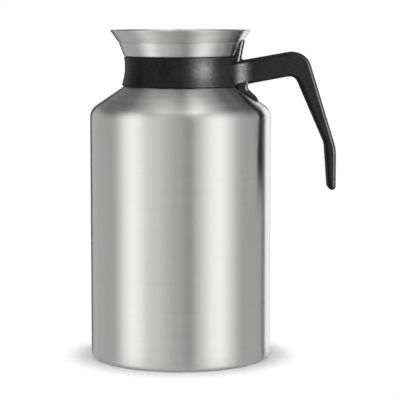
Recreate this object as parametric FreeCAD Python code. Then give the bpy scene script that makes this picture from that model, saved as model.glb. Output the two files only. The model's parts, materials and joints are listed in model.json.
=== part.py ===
"""Thermal carafe: a double-walled steel flask with a flared pouring funnel, a plastic collar with an
open handle clamped round its neck, and a brew-through stopper that lifts out of the mouth.

Millimetres, +Z up. The origin is on the flask's axis, in the plane that it stands on, and the
handle points along +X. The front half of the handle is the one on the -Y side."""
import FreeCAD, Part
import math
import os

Vector = FreeCAD.Vector
ORIGIN = Vector(0, 0, 0)
RIGHT = Vector(1, 0, 0)
BACK = Vector(0, 1, 0)
UP = Vector(0, 0, 1)
FULL_TURN = 360

# Shared by all pieces
cut_overrun = 1.0
join_tolerance = 1e-6

# Outer shell
body_radius = 65.0
shell_wall = 0.8
foot_rounding = 3.0
foot_width = 5.5
foot_flange_height = 5.5
foot_flange_rounding = 1.5
shoulder_height = 179.3
shoulder_angle = 34.4
shoulder_rounding = 10.0
neck_fillet = 2.5
neck_length = 17.6

# Base plate and the sealed evacuation point in its middle
base_recess = 4.0
base_wall = 0.8
base_corner_rounding = 1.6
base_dimple_radius = 14.0
base_dimple_slope = 2.0
base_dimple_depth = 1.6
plug_radius = 4.5
plug_thickness = 1.4
plug_rounding = 0.6
plug_stem_radius = 1.2
plug_stem_length = 2.0
plug_fit = 0.05

# Inner flask and the vacuum round it
inner_wall = 0.6
vacuum_gap = 7.0
floor_gap = 7.0
neck_gap = 1.8
inner_floor_rounding = 9.0
inner_shoulder_rounding = 8.0
inner_neck_fillet = 3.0
foil_thickness = 0.2
foil_slip = 0.1
foil_end_margin = 4.0
getter_radius = 5.0
getter_height = 3.2
getter_wall = 0.5
getter_fill_depth = 0.8
getter_offset = 32.0

# Pouring funnel: a ledge over the two necks, a steep cone and a wider cone above a crease
funnel_wall = 0.8
funnel_overhang = 5.0
funnel_base_rounding = 2.0
crease_flare = 4.0
crease_rise = 10.0
crease_rounding = 0.9
rim_flare = 6.1
funnel_height = 18.75
rim_edge_share = 0.45

# Rubber band under the collar
band_thickness = 0.8
band_fit = 0.05
band_end_margin = 1.2

# Collar, waisted on the outside, its underside following the shoulder
collar_fit = 0.05
collar_seat_gap = 0.3
collar_top_gap = 0.15
collar_top_radius = 40.5
collar_top_wall = 4.4
collar_waist_draw = 1.6
collar_waist_rise = 8.8
collar_bottom_flare = 2.1
collar_sweep_radius = 38.0
collar_edge_rounding = 0.9

# Handle: an arm that rises from the collar, an elbow, a leaning grip and a straight end
arm_depth = 22.0
arm_top_angle = 10.0
arm_under_angle = 10.5
arm_root_blend = 15.0
elbow_reach = 90.3
elbow_lift = 5.3
elbow_width = 7.9
elbow_height = 18.4
elbow_rounding = 13.3
elbow_inner_rounding = 7.5
grip_lean = 17.1
knee_drop = 71.3
knee_width = 8.15
knee_stagger = 3.3
knee_rounding = 26.0
knee_inner_rounding = 13.0
grip_end_drop = 101.6
grip_end_width = 6.0
grip_end_round_share = 0.48
handle_edge_rounding = 2.0
handle_edge_limit_share = 0.85

# Hollow inside the arm and elbow
handle_wall = 2.6
hollow_start = 8.0
grip_hollow_share = 0.42
boss_radius = 4.3

# Screws that join the handle halves, in brass inserts
root_screw_offset = 6.3
grip_screw_share = 0.6
screw_radius = 1.5
screw_head_radius = 2.8
screw_head_height = 2.0
screw_head_recess = 3.0
screw_slot_width = 0.8
screw_slot_depth = 0.9
screw_clearance = 0.2
insert_wall = 0.6
insert_length = 6.0
insert_fit = 0.02

# Screw that closes the collar opposite the handle
collar_screw_radius = 1.1
collar_screw_head_radius = 2.0
collar_screw_head_height = 1.5
collar_screw_grip_length = 7.0
collar_screw_rise = 0.4
collar_screw_inset_share = 0.48
collar_insert_wall = 0.5
collar_insert_length = 5.0

# Saddle at the handle's root, with a tongue on the funnel and one on the shoulder
saddle_gap = 0.25
saddle_seat_depth = 1.5
tongue_half_width = 12.0
tongue_root_thickness = 3.4
tongue_foot_width = 2.6
tongue_foot_rounding = 2.0
tongue_foot_limit_share = 0.8
upper_tip_share = 0.19
upper_tip_thickness = 0.9
web_half_width = 5.0
web_thickness = 2.4
lower_tip_share = 0.567
lower_tip_thickness = 1.2
lower_tip_half_width = 5.0
lower_tip_rounding = 4.0
lower_root_share = 0.1964
lower_root_thickness = 3.6
lower_foot_width = 1.6
lower_foot_rounding = 2.0
lower_side_rounding = 8.0

# Stopper: flange on the ledge, skirt in the mouth, dished floor with a pouring slot
flange_clearance = 1.9
flange_thickness = 2.2
flange_edge_rounding = 0.8
plug_skirt_clearance = 0.8
skirt_wall = 2.8
skirt_depth = 16.0
dish_depth = 4.2
dish_slope = 2.0
dish_rounding = 1.4
dish_floor_thickness = 2.2
slot_inner_share = 0.422
slot_outer_share = 0.877
slot_half_angle = 38.0
groove_depth = 1.6
groove_height = 5.0
groove_rise = 4.0

# Lip seal in the skirt's groove
gasket_slip = 0.15
gasket_body_thickness = 0.9
gasket_lip_clearance = 0.1
gasket_lip_thickness = 1.0
gasket_lip_taper = 0.4

# Hollow knob, its nut and the tube under it
knob_top_drop = 3.2
knob_top_radius = 13.5
knob_lip_height = 3.0
knob_base_radius = 13.0
knob_base_height = 2.4
knob_waist_radius = 9.4
knob_waist_share = 0.45
knob_waist_rounding = 9.0
knob_edge_rounding = 1.0
knob_mouth_wall = 1.8
knob_bore_radius = 5.5
knob_throat_rounding = 8.0
spigot_radius = 6.9
spigot_fit = 0.1
spigot_below_nut = 12.0
nut_across_flats = 20.0
nut_height = 4.0
nut_fit = 0.05
nut_sides = 6
tube_wall = 1.2
tube_fit = 0.05
tube_floor_gap = 13.0
tube_notch_radius = 4.0

# Heights and radii that follow from the sizes above
shoulder_slope = math.tan(math.radians(shoulder_angle))
shoulder_lift = 1 / math.cos(math.radians(shoulder_angle))
collar_bore = collar_top_radius - collar_top_wall
collar_waist_corner_radius = collar_top_radius - collar_waist_draw
collar_bottom_radius = collar_top_radius + collar_bottom_flare
band_radius = collar_bore - collar_fit
neck_radius = band_radius - band_thickness - band_fit
mouth_radius = neck_radius - shell_wall - neck_gap - inner_wall
funnel_base_radius = neck_radius + funnel_overhang
crease_radius = funnel_base_radius + crease_flare
rim_radius = crease_radius + rim_flare
neck_base_z = shoulder_height + (body_radius - neck_radius) * shoulder_slope
neck_top_z = neck_base_z + neck_length
foot_inner_radius = body_radius - foot_rounding - foot_width
base_top_z = base_recess + base_wall
inner_radius = body_radius - shell_wall - vacuum_gap
inner_neck_radius = mouth_radius + inner_wall
inner_floor_z = base_top_z + floor_gap
ledge_z = neck_top_z + funnel_wall
rim_z = neck_top_z + funnel_height
arm_half = arm_depth / 2
elbow_z = neck_top_z + elbow_lift
knee_x = elbow_reach + knee_drop * math.tan(math.radians(grip_lean))
insert_radius = screw_radius + insert_fit + insert_wall
collar_insert_radius = collar_screw_radius + insert_fit + collar_insert_wall
web_inner_radius = collar_bottom_radius + saddle_gap
web_outer_radius = web_inner_radius + web_thickness
root_screw_x = web_outer_radius + root_screw_offset
lower_tip_radius = collar_bottom_radius + (body_radius - collar_bottom_radius) * lower_tip_share
lower_root_radius = collar_bottom_radius + (body_radius - collar_bottom_radius) * lower_root_share
flange_radius = funnel_base_radius - flange_clearance
plug_skirt_radius = mouth_radius - plug_skirt_clearance
skirt_inner_radius = plug_skirt_radius - skirt_wall
skirt_bottom_z = ledge_z - skirt_depth
groove_radius = plug_skirt_radius - groove_depth
slot_inner_radius = knob_base_radius + (skirt_inner_radius - knob_base_radius) * slot_inner_share
slot_outer_radius = knob_base_radius + (skirt_inner_radius - knob_base_radius) * slot_outer_share
flange_top_z = ledge_z + flange_thickness
dish_top_z = flange_top_z - dish_depth
dish_bottom_z = dish_top_z - dish_floor_thickness
hub_radius = spigot_radius + spigot_fit
nut_bottom_z = dish_bottom_z - nut_height
knob_top_z = rim_z - knob_top_drop
tube_bore = spigot_radius + tube_fit
tube_radius = tube_bore + tube_wall


def in_section(point):
    """Section point (radius, height) in the plane of the handle."""
    return Vector(point.x, 0, point.y)


def tangent_arc(before, corner, after):
    """Start, middle and end of the arc that rounds a corner between its neighbours."""
    u, v, rounding = corner
    here = Vector(u, v, 0)
    to_before = (Vector(before[0], before[1], 0) - here).normalize()
    to_after = (Vector(after[0], after[1], 0) - here).normalize()
    half_angle = to_before.getAngle(to_after) / 2
    inward = (to_before + to_after).normalize()
    set_back = rounding / math.tan(half_angle)
    middle = here + inward * (rounding / math.sin(half_angle) - rounding)
    return here + to_before * set_back, middle, here + to_after * set_back


def rounded_wire(corners, place):
    """Closed wire through corners (u, v, rounding): straight runs joined by tangent arcs."""
    count = len(corners)
    turns = []
    for index, corner in enumerate(corners):
        if corner[2]:
            turns.append(tangent_arc(corners[index - 1], corner, corners[(index + 1) % count]))
        else:
            here = Vector(corner[0], corner[1], 0)
            turns.append((here, None, here))
    edges = []
    for index, (start, middle, end) in enumerate(turns):
        if middle is not None:
            edges.append(Part.Arc(place(start), place(middle), place(end)).toShape())
        next_start = turns[(index + 1) % count][0]
        if not end.isEqual(next_start, join_tolerance):
            edges.append(Part.makeLine(place(end), place(next_start)))
    return Part.Wire(edges)


def parallel(corners, distance):
    """Corners of the line that runs to the left of an open line of corners."""
    points = [Vector(u, v, 0) for u, v, rounding in corners]
    normals = []
    for start, end in zip(points, points[1:]):
        run = (end - start).normalize()
        normals.append(Vector(-run.y, run.x, 0))
    beside = []
    for index, point in enumerate(points):
        before = normals[max(index - 1, 0)]
        after = normals[min(index, len(normals) - 1)]
        shift = (before + after) * (distance / (1 + before.dot(after)))
        rounding = corners[index][2]
        if rounding:
            rounding -= math.copysign(distance, before.cross(after).z)
        beside.append((point.x + shift.x, point.y + shift.y, rounding))
    return beside


def walled(corners, wall):
    """Closed corners of an even wall to the left of an open line of corners."""
    return corners + parallel(corners, wall)[::-1]


def along(start, end, share):
    """Sharp corner part of the way from one corner to another."""
    return (start[0] + (end[0] - start[0]) * share, start[1] + (end[1] - start[1]) * share, 0)


def turned(corners, angle=FULL_TURN):
    """Solid turned about the flask's axis from section corners."""
    return Part.Face(rounded_wire(corners, in_section)).revolve(ORIGIN, UP, angle)


def ring(inner, outer, low, high):
    """Plain ring about the flask's axis."""
    return turned([(inner, low, 0), (outer, low, 0), (outer, high, 0), (inner, high, 0)])


def side_slab(corners, front, back):
    """Solid with an outline seen from the front, between two depths."""
    wire = rounded_wire(corners, lambda point: Vector(point.x, front, point.y))
    return Part.Face(wire).extrude(BACK * (back - front))


def plan_slab(corners, low, high):
    """Solid with an outline seen from above, between two heights."""
    wire = rounded_wire(corners, lambda point: Vector(point.x, point.y, low))
    return Part.Face(wire).extrude(UP * (high - low))


def cross_rod(radius, x, z, front, back):
    """Round bar along Y between two depths."""
    return Part.makeCylinder(radius, back - front, Vector(x, front, z), BACK)


def shoulder_z(radius, gap=0):
    """Height of the shoulder cone at a radius, or of a line that far above it."""
    return shoulder_height + (body_radius - radius) * shoulder_slope + gap * shoulder_lift


def arm_top_z(x):
    """Height of the arm's upper side."""
    return elbow_z - (elbow_reach - x) * math.tan(math.radians(arm_top_angle))


def arm_under_z(x):
    """Height of the arm's lower side."""
    drop = (elbow_reach - elbow_width - x) * math.tan(math.radians(arm_under_angle))
    return elbow_z - elbow_height - drop


def shell_line():
    """Outside of the shell, from its turned-in foot flange up to the neck."""
    return [(foot_inner_radius, foot_flange_height, 0),
            (foot_inner_radius, 0, foot_flange_rounding),
            (body_radius, 0, foot_rounding),
            (body_radius, shoulder_height, shoulder_rounding),
            (neck_radius, neck_base_z, neck_fillet),
            (neck_radius, neck_top_z, 0)]


def outer_shell():
    """Spun outer wall with its foot, shoulder and neck."""
    return turned(walled(shell_line(), shell_wall))


def base_plate():
    """Recessed bottom inside the foot flange, with a dimple round the evacuation hole."""
    rim_inner_radius = foot_inner_radius - base_wall
    dimple_z = base_recess + base_dimple_depth
    line = [(plug_stem_radius + plug_fit, dimple_z, 0),
            (base_dimple_radius - base_dimple_slope, dimple_z, base_corner_rounding),
            (base_dimple_radius, base_recess, base_corner_rounding),
            (rim_inner_radius, base_recess, base_corner_rounding),
            (rim_inner_radius, foot_flange_rounding, 0)]
    return turned(walled(line, base_wall))


def vacuum_plug():
    """Glass-solder button under the evacuation hole, with its stem through the hole."""
    seat_z = base_recess + base_dimple_depth
    return turned([(0, seat_z - plug_thickness, 0),
                   (plug_radius, seat_z - plug_thickness, plug_rounding),
                   (plug_radius, seat_z, 0),
                   (plug_stem_radius, seat_z, 0),
                   (plug_stem_radius, seat_z + plug_stem_length, 0),
                   (0, seat_z + plug_stem_length, 0)])


def inner_shoulder_z(radius):
    """Height of the inner flask's shoulder, one vacuum gap under the shell's."""
    return shoulder_z(radius, -shell_wall - vacuum_gap)


def inner_flask():
    """Inner wall round the coffee, hung from the funnel's ledge by its neck."""
    line = [(0, inner_floor_z, 0),
            (inner_radius, inner_floor_z, inner_floor_rounding),
            (inner_radius, inner_shoulder_z(inner_radius), inner_shoulder_rounding),
            (inner_neck_radius, inner_shoulder_z(inner_neck_radius), inner_neck_fillet),
            (inner_neck_radius, neck_top_z, 0)]
    return turned(walled(line, inner_wall))


def radiation_foil():
    """Foil wrapped round the straight side of the inner flask."""
    low = inner_floor_z + inner_floor_rounding + foil_end_margin
    high = inner_shoulder_z(inner_radius) - inner_shoulder_rounding - foil_end_margin
    inside = inner_radius + foil_slip
    return ring(inside, inside + foil_thickness, low, high)


def getter_cup():
    """Pressed cup with its getter pellet, fixed to the top of the base plate."""
    fill_z = base_top_z + getter_height - getter_fill_depth
    cup = turned([(0, base_top_z, 0),
                  (getter_radius, base_top_z, getter_wall),
                  (getter_radius, base_top_z + getter_height, 0),
                  (getter_radius - getter_wall, base_top_z + getter_height, 0),
                  (getter_radius - getter_wall, fill_z, 0),
                  (0, fill_z, 0)])
    cup.translate(RIGHT * -getter_offset)
    return cup


def funnel_line():
    """Outside of the funnel, from the ledge's inner edge up to the rim."""
    edge = funnel_wall * rim_edge_share
    return [(mouth_radius, neck_top_z, 0),
            (funnel_base_radius, neck_top_z, funnel_base_rounding),
            (crease_radius, neck_top_z + crease_rise, crease_rounding),
            (rim_radius, rim_z, edge)]


def pouring_funnel():
    """Flared mouth, welded on the outer and inner necks."""
    edge = funnel_wall * rim_edge_share
    outside = funnel_line()
    inside = parallel(outside, funnel_wall)
    inside[-1] = (inside[-1][0], inside[-1][1], edge)
    return turned(outside + inside[::-1])


def neck_grip_band():
    """Rubber band that the collar squeezes on the neck."""
    low = neck_base_z + neck_fillet + band_end_margin
    return ring(neck_radius + band_fit, band_radius, low, neck_top_z - band_end_margin)


def collar_line():
    """Outside of the collar, from its lower to its upper edge, drawn in at the waist."""
    bottom_z = shoulder_z(collar_bottom_radius, collar_seat_gap)
    return [(collar_bottom_radius, bottom_z, collar_edge_rounding),
            (collar_waist_corner_radius, neck_base_z + collar_waist_rise, collar_sweep_radius),
            (collar_top_radius, neck_top_z - collar_top_gap, collar_edge_rounding)]


def collar_ring():
    """Whole collar before it is joined to the arm."""
    bore = [(collar_bore, neck_top_z - collar_top_gap, 0),
            (collar_bore, shoulder_z(collar_bore, collar_seat_gap), 0)]
    return turned(collar_line() + bore)


def arm_root():
    """Corners, from above, of the blend between the collar's waist and the arm's +Y side."""
    waist_radius = tangent_arc(*collar_line())[1].x
    centre_y = arm_half + arm_root_blend
    centre_x = math.sqrt((waist_radius + arm_root_blend) ** 2 - centre_y ** 2)
    touch_share = waist_radius / (waist_radius + arm_root_blend)
    touch_x = centre_x * touch_share
    touch_y = centre_y * touch_share
    bend_x = (waist_radius ** 2 - touch_y * arm_half) / touch_x
    return [(bend_x, arm_half, arm_root_blend), (touch_x, touch_y, 0)]


def arm_root_x():
    """Where the arm's solid starts, inside the collar's bore."""
    return arm_root()[-1][0]


def handle_upper_line():
    """Outer side of the handle seen from the front, from the collar to the knee."""
    return [(arm_root_x(), arm_top_z(arm_root_x()), 0),
            (elbow_reach, elbow_z, elbow_rounding),
            (knee_x, elbow_z - knee_drop, knee_rounding)]


def handle_lower_line():
    """Finger side of the handle seen from the front, from the collar to the knee."""
    knee_z = elbow_z - knee_drop + knee_stagger
    return [(arm_root_x(), arm_under_z(arm_root_x()), 0),
            (elbow_reach - elbow_width, elbow_z - elbow_height, elbow_inner_rounding),
            (knee_x - knee_width, knee_z, knee_inner_rounding)]


def handle_outline():
    """Whole outline of arm and grip seen from the front."""
    end_z = elbow_z - grip_end_drop
    end_round = grip_end_width * grip_end_round_share
    end = [(knee_x, end_z, end_round), (knee_x - grip_end_width, end_z, end_round)]
    return handle_upper_line() + end + handle_lower_line()[::-1]


def outline_edges(solid):
    """Edges where the handle's front and back meet its outline, away from the collar."""
    edges = []
    for edge in solid.Edges:
        middle = edge.valueAt((edge.FirstParameter + edge.LastParameter) / 2)
        tilts = []
        for face in solid.ancestorsOfType(edge, Part.Face):
            u, v = face.Surface.parameter(middle)
            tilts.append(abs(face.normalAt(u, v).y))
        if min(tilts) < join_tolerance < max(tilts) and middle.x > arm_root_x() + join_tolerance:
            edges.append(edge)
    return edges


def arm_and_grip():
    """Arm, elbow and grip as one solid with rounded edges, blended out towards the collar."""
    blend = arm_root()
    mirrored = [(x, -y, rounding) for x, y, rounding in blend[::-1]]
    end_x = knee_x + cut_overrun
    plan = mirrored + [(end_x, -arm_half, 0), (end_x, arm_half, 0)] + blend
    widest = blend[-1][1]
    bar = side_slab(handle_outline(), -widest, widest)
    bar = bar.common(plan_slab(plan, elbow_z - grip_end_drop - cut_overrun, elbow_z + cut_overrun))
    end_round = grip_end_width * grip_end_round_share
    rounding = min(handle_edge_rounding, end_round * handle_edge_limit_share)
    solid = bar.Solids[0]
    return solid.makeFillet(rounding, outline_edges(solid))


def flask_room():
    """Space of the neck, band and shoulder, kept free of the handle."""
    low_z = shoulder_height - cut_overrun
    top_z = elbow_z + cut_overrun
    return turned([(0, low_z, 0),
                   (body_radius, low_z, 0),
                   (body_radius, shoulder_z(body_radius, collar_seat_gap), 0),
                   (collar_bore, shoulder_z(collar_bore, collar_seat_gap), 0),
                   (collar_bore, top_z, 0),
                   (0, top_z, 0)])


def handle_screw_places():
    """Screw places (x, z) at the arm's root, in the elbow and in the grip."""
    upper = handle_upper_line()
    lower = handle_lower_line()
    root_z = (arm_top_z(root_screw_x) + arm_under_z(root_screw_x)) / 2
    elbow = along(upper[1], lower[1], 1 / 2)
    grip = along(along(upper[1], upper[2], grip_screw_share),
                 along(lower[1], lower[2], grip_screw_share), 1 / 2)
    return [(root_screw_x, root_z), elbow[:2], grip[:2]]


def at_x(start, end, x):
    """Sharp corner on the line between two corners, at one x."""
    return along(start, end, (x - start[0]) / (end[0] - start[0]))


def handle_hollow():
    """Hollow of the arm and elbow, round the boss of the elbow screw."""
    upper = parallel(handle_upper_line(), -handle_wall)
    lower = parallel(handle_lower_line(), handle_wall)
    start_x = root_screw_x + hollow_start
    outline = [at_x(upper[0], upper[1], start_x),
               upper[1],
               along(upper[1], upper[2], grip_hollow_share),
               along(lower[1], lower[2], grip_hollow_share),
               lower[1],
               at_x(lower[0], lower[1], start_x)]
    half = arm_half - handle_wall
    x, z = handle_screw_places()[1]
    return side_slab(outline, -half, half).cut(cross_rod(boss_radius, x, z, -half, half))


def collar_screw_place():
    """Place (x, z) of the collar's closing screw, inside the wall opposite the handle."""
    z = neck_base_z + collar_screw_rise
    inset = (collar_bottom_radius - collar_bore) * collar_screw_inset_share
    return -collar_bore - inset, z


def handle_body():
    """Collar, arm and grip before they are parted into halves."""
    solid = collar_ring().fuse(arm_and_grip()).removeSplitter()
    return solid.cut(flask_room()).cut(handle_saddle()).cut(handle_hollow())


def half_space(side):
    """Large block on the front (-1) or rear (1) side of the parting plane."""
    reach = knee_x + cut_overrun
    block = Part.makeBox(2 * reach, reach, elbow_z + reach, Vector(-reach, 0, 0))
    if side < 0:
        block.translate(BACK * -reach)
    return block


def handle_front_half():
    """Front half, with the pockets for the inserts."""
    solid = handle_body().common(half_space(-1))
    for x, z in handle_screw_places():
        solid = solid.cut(cross_rod(insert_radius, x, z, -insert_length, cut_overrun))
    x, z = collar_screw_place()
    return solid.cut(cross_rod(collar_insert_radius, x, z, -collar_insert_length, cut_overrun))


def handle_rear_half():
    """Rear half, with the screw holes and their counterbores."""
    solid = handle_body().common(half_space(1))
    seat_y = arm_half - screw_head_recess
    for x, z in handle_screw_places():
        hole = cross_rod(screw_radius + screw_clearance, x, z, -cut_overrun, arm_depth)
        counterbore = cross_rod(screw_head_radius + screw_clearance, x, z, seat_y, arm_depth)
        solid = solid.cut(hole).cut(counterbore)
    x, z = collar_screw_place()
    hole = cross_rod(collar_screw_radius + screw_clearance, x, z, -cut_overrun, collar_bore)
    head_room = collar_screw_head_radius + screw_clearance
    counterbore = cross_rod(head_room, x, z, collar_screw_grip_length, collar_bore)
    return solid.cut(hole).cut(counterbore)


def screw(radius, head_radius, head_height, x, z, tip_y, seat_y):
    """Screw along Y with a cross-slotted head towards the rear."""
    head_y = seat_y + head_height
    solid = cross_rod(radius, x, z, tip_y, seat_y).fuse(cross_rod(head_radius, x, z, seat_y, head_y))
    slot_half = screw_slot_width / 2
    for turn in (0, FULL_TURN / 4):
        slot = Part.makeBox(2 * head_radius - screw_slot_width, screw_slot_depth + cut_overrun,
                            screw_slot_width,
                            Vector(x - head_radius + slot_half, head_y - screw_slot_depth, z - slot_half))
        slot.rotate(Vector(x, 0, z), BACK, turn)
        solid = solid.cut(slot)
    return solid


def handle_screws():
    """The three screws of the handle."""
    seat_y = arm_half - screw_head_recess
    return Part.makeCompound([screw(screw_radius, screw_head_radius, screw_head_height,
                                    x, z, -insert_length, seat_y)
                              for x, z in handle_screw_places()])


def insert(radius, bore, x, z, length):
    """Threaded insert in the front half, flush with the parting plane."""
    return cross_rod(radius, x, z, -length, 0).cut(cross_rod(bore, x, z, -length, 0))


def handle_inserts():
    """The three inserts of the handle."""
    return Part.makeCompound([insert(insert_radius, screw_radius + insert_fit, x, z, insert_length)
                              for x, z in handle_screw_places()])


def collar_screw():
    """Screw that closes the collar."""
    x, z = collar_screw_place()
    return screw(collar_screw_radius, collar_screw_head_radius, collar_screw_head_height,
                 x, z, -collar_insert_length, collar_screw_grip_length)


def collar_insert():
    """Insert of the collar's screw."""
    x, z = collar_screw_place()
    return insert(collar_insert_radius, collar_screw_radius + insert_fit, x, z, collar_insert_length)


def upper_tongue():
    """Tongue that leans on the funnel's lower cone, its foot let into the arm."""
    funnel = parallel(funnel_line(), -saddle_gap)
    crease = funnel[2]
    tip = along(funnel[2], funnel[3], upper_tip_share)
    inner = collar_top_radius + saddle_gap
    outer = inner + tongue_root_thickness
    foot = outer + tongue_foot_width
    seat_z = arm_top_z(inner) - saddle_seat_depth
    clear_rise = neck_top_z - arm_top_z(outer)
    foot_fillet = min(tongue_foot_rounding, clear_rise * tongue_foot_limit_share)
    return turned([(inner, seat_z, 0),
                   (foot, seat_z, 0),
                   (foot, arm_top_z(foot), 0),
                   (outer, arm_top_z(outer), foot_fillet),
                   (outer, neck_top_z, 0),
                   (tip[0] + upper_tip_thickness, tip[1], 0),
                   tip,
                   (crease[0], crease[1], 0),
                   (inner, neck_top_z, 0)])


def lower_tongue():
    """Tongue that leans on the shoulder, narrowing to its tip, its foot let into the arm."""
    inner = collar_bottom_radius + saddle_gap
    foot = lower_root_radius + lower_foot_width
    seat_z = arm_under_z(foot) + saddle_seat_depth
    tip_z = shoulder_z(lower_tip_radius, saddle_gap)
    root_z = shoulder_z(lower_root_radius, saddle_gap) + lower_root_thickness
    section = turned([(inner, shoulder_z(inner, saddle_gap), 0),
                      (lower_tip_radius, tip_z, 0),
                      (lower_tip_radius + lower_tip_thickness / 2, tip_z + lower_tip_thickness, 0),
                      (lower_root_radius, root_z, lower_foot_rounding),
                      (foot, arm_under_z(foot), 0),
                      (foot, seat_z, 0),
                      (inner, seat_z, 0)])
    tip_x = lower_tip_radius + lower_tip_thickness
    side = [(0, tongue_half_width, 0),
            (lower_root_radius, tongue_half_width, lower_side_rounding),
            (tip_x, lower_tip_half_width, lower_tip_rounding)]
    other = [(x, -y, rounding) for x, y, rounding in side[::-1]]
    return section.common(plan_slab(side[::-1] + other[::-1], tip_z - cut_overrun, seat_z + cut_overrun))


def handle_saddle():
    """Both tongues and the narrow web that joins them inside the arm's root."""
    depth = 2 * tongue_half_width
    block = Part.makeBox(knee_x, depth, rim_z, Vector(0, -tongue_half_width, 0))
    upper = upper_tongue().common(block)
    web_block = Part.makeBox(knee_x, 2 * web_half_width, rim_z, Vector(0, -web_half_width, 0))
    web = ring(web_inner_radius, web_outer_radius,
               arm_under_z(web_inner_radius), arm_top_z(web_inner_radius))
    return upper.fuse(lower_tongue()).fuse(web.common(web_block)).removeSplitter()


def lid_body():
    """Stopper with its flange, dished floor, skirt, seal groove and pouring slot."""
    groove_low = skirt_bottom_z + groove_rise
    groove_high = groove_low + groove_height
    solid = turned([(hub_radius, dish_bottom_z, 0),
                    (skirt_inner_radius, dish_bottom_z, 0),
                    (skirt_inner_radius, skirt_bottom_z, 0),
                    (plug_skirt_radius, skirt_bottom_z, flange_edge_rounding),
                    (plug_skirt_radius, groove_low, 0),
                    (groove_radius, groove_low, 0),
                    (groove_radius, groove_high, 0),
                    (plug_skirt_radius, groove_high, 0),
                    (plug_skirt_radius, ledge_z, 0),
                    (flange_radius, ledge_z, 0),
                    (flange_radius, flange_top_z, flange_edge_rounding),
                    (skirt_inner_radius + dish_slope, flange_top_z, dish_rounding),
                    (skirt_inner_radius, dish_top_z, dish_rounding),
                    (hub_radius, dish_top_z, 0)])
    slot_low = dish_bottom_z - cut_overrun
    slot_high = dish_top_z + cut_overrun
    slot = turned([(slot_inner_radius, slot_low, 0),
                   (slot_outer_radius, slot_low, 0),
                   (slot_outer_radius, slot_high, 0),
                   (slot_inner_radius, slot_high, 0)], 2 * slot_half_angle)
    slot.rotate(ORIGIN, UP, FULL_TURN / 2 - slot_half_angle)
    return solid.cut(slot)


def lid_gasket():
    """Seal ring in the skirt's groove, with two lips against the mouth."""
    low = skirt_bottom_z + groove_rise + gasket_slip
    high = low + groove_height - 2 * gasket_slip
    inner = groove_radius + gasket_slip
    body = inner + gasket_body_thickness
    lip = mouth_radius - gasket_lip_clearance
    return turned([(inner, low, 0),
                   (body, low, 0),
                   (lip, low + gasket_lip_taper, 0),
                   (lip, low + gasket_lip_thickness, 0),
                   (body, low + gasket_lip_thickness + gasket_lip_taper, 0),
                   (body, high - gasket_lip_thickness - gasket_lip_taper, 0),
                   (lip, high - gasket_lip_thickness, 0),
                   (lip, high - gasket_lip_taper, 0),
                   (body, high, 0),
                   (inner, high, 0)])


def lid_knob():
    """Hollow waisted knob with a flared mouth and a spigot through the lid's floor."""
    spigot_z = nut_bottom_z - spigot_below_nut
    waist_z = dish_top_z + (knob_top_z - dish_top_z) * knob_waist_share
    return turned([(knob_bore_radius, spigot_z, 0),
                   (spigot_radius, spigot_z, 0),
                   (spigot_radius, dish_top_z, 0),
                   (knob_base_radius, dish_top_z, 0),
                   (knob_base_radius, dish_top_z + knob_base_height, knob_edge_rounding),
                   (knob_waist_radius, waist_z, knob_waist_rounding),
                   (knob_top_radius, knob_top_z - knob_lip_height, knob_edge_rounding),
                   (knob_top_radius, knob_top_z, knob_edge_rounding),
                   (knob_top_radius - knob_mouth_wall, knob_top_z, knob_edge_rounding / 2),
                   (knob_bore_radius, waist_z, knob_throat_rounding)])


def knob_nut():
    """Hexagonal nut under the lid's floor."""
    corner_radius = nut_across_flats / 2 / math.cos(math.pi / nut_sides)
    step = 2 * math.pi / nut_sides
    corners = [(corner_radius * math.cos(step * side), corner_radius * math.sin(step * side), 0)
               for side in range(nut_sides)]
    bore = Part.makeCylinder(spigot_radius + nut_fit, nut_height, Vector(0, 0, nut_bottom_z))
    return plan_slab(corners, nut_bottom_z, dish_bottom_z).cut(bore)


def mixing_tube():
    """Tube pushed on the spigot, notched at its lower end."""
    low = inner_floor_z + inner_wall + tube_floor_gap
    notch = cross_rod(tube_notch_radius, 0, low, -tube_radius, tube_radius)
    return ring(tube_bore, tube_radius, low, nut_bottom_z).cut(notch)


pieces = [outer_shell, base_plate, vacuum_plug, inner_flask, radiation_foil, getter_cup,
          pouring_funnel, neck_grip_band, handle_front_half, handle_rear_half, handle_saddle,
          handle_screws, handle_inserts, collar_screw, collar_insert,
          lid_body, lid_gasket, lid_knob, knob_nut, mixing_tube]

os.makedirs("parts", exist_ok=True)
for piece in pieces:
    shape = piece()
    shape.exportStep(os.path.join("parts", piece.__name__ + ".step"))
    box = shape.optimalBoundingBox()
    print(piece.__name__, "valid", shape.isValid(), "solids", len(shape.Solids),
          "volume %.1f" % shape.Volume,
          "x %.2f %.2f" % (box.XMin, box.XMax),
          "y %.2f %.2f" % (box.YMin, box.YMax),
          "z %.2f %.2f" % (box.ZMin, box.ZMax))
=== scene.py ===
"""Thermal carafe: brushed steel flask, black clamped handle and lift-out stopper, over its CAD frame.

Metres, +Z up. The origin is on the flask's axis, in the plane it stands on. The handle points along +X."""
import json
import math

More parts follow.
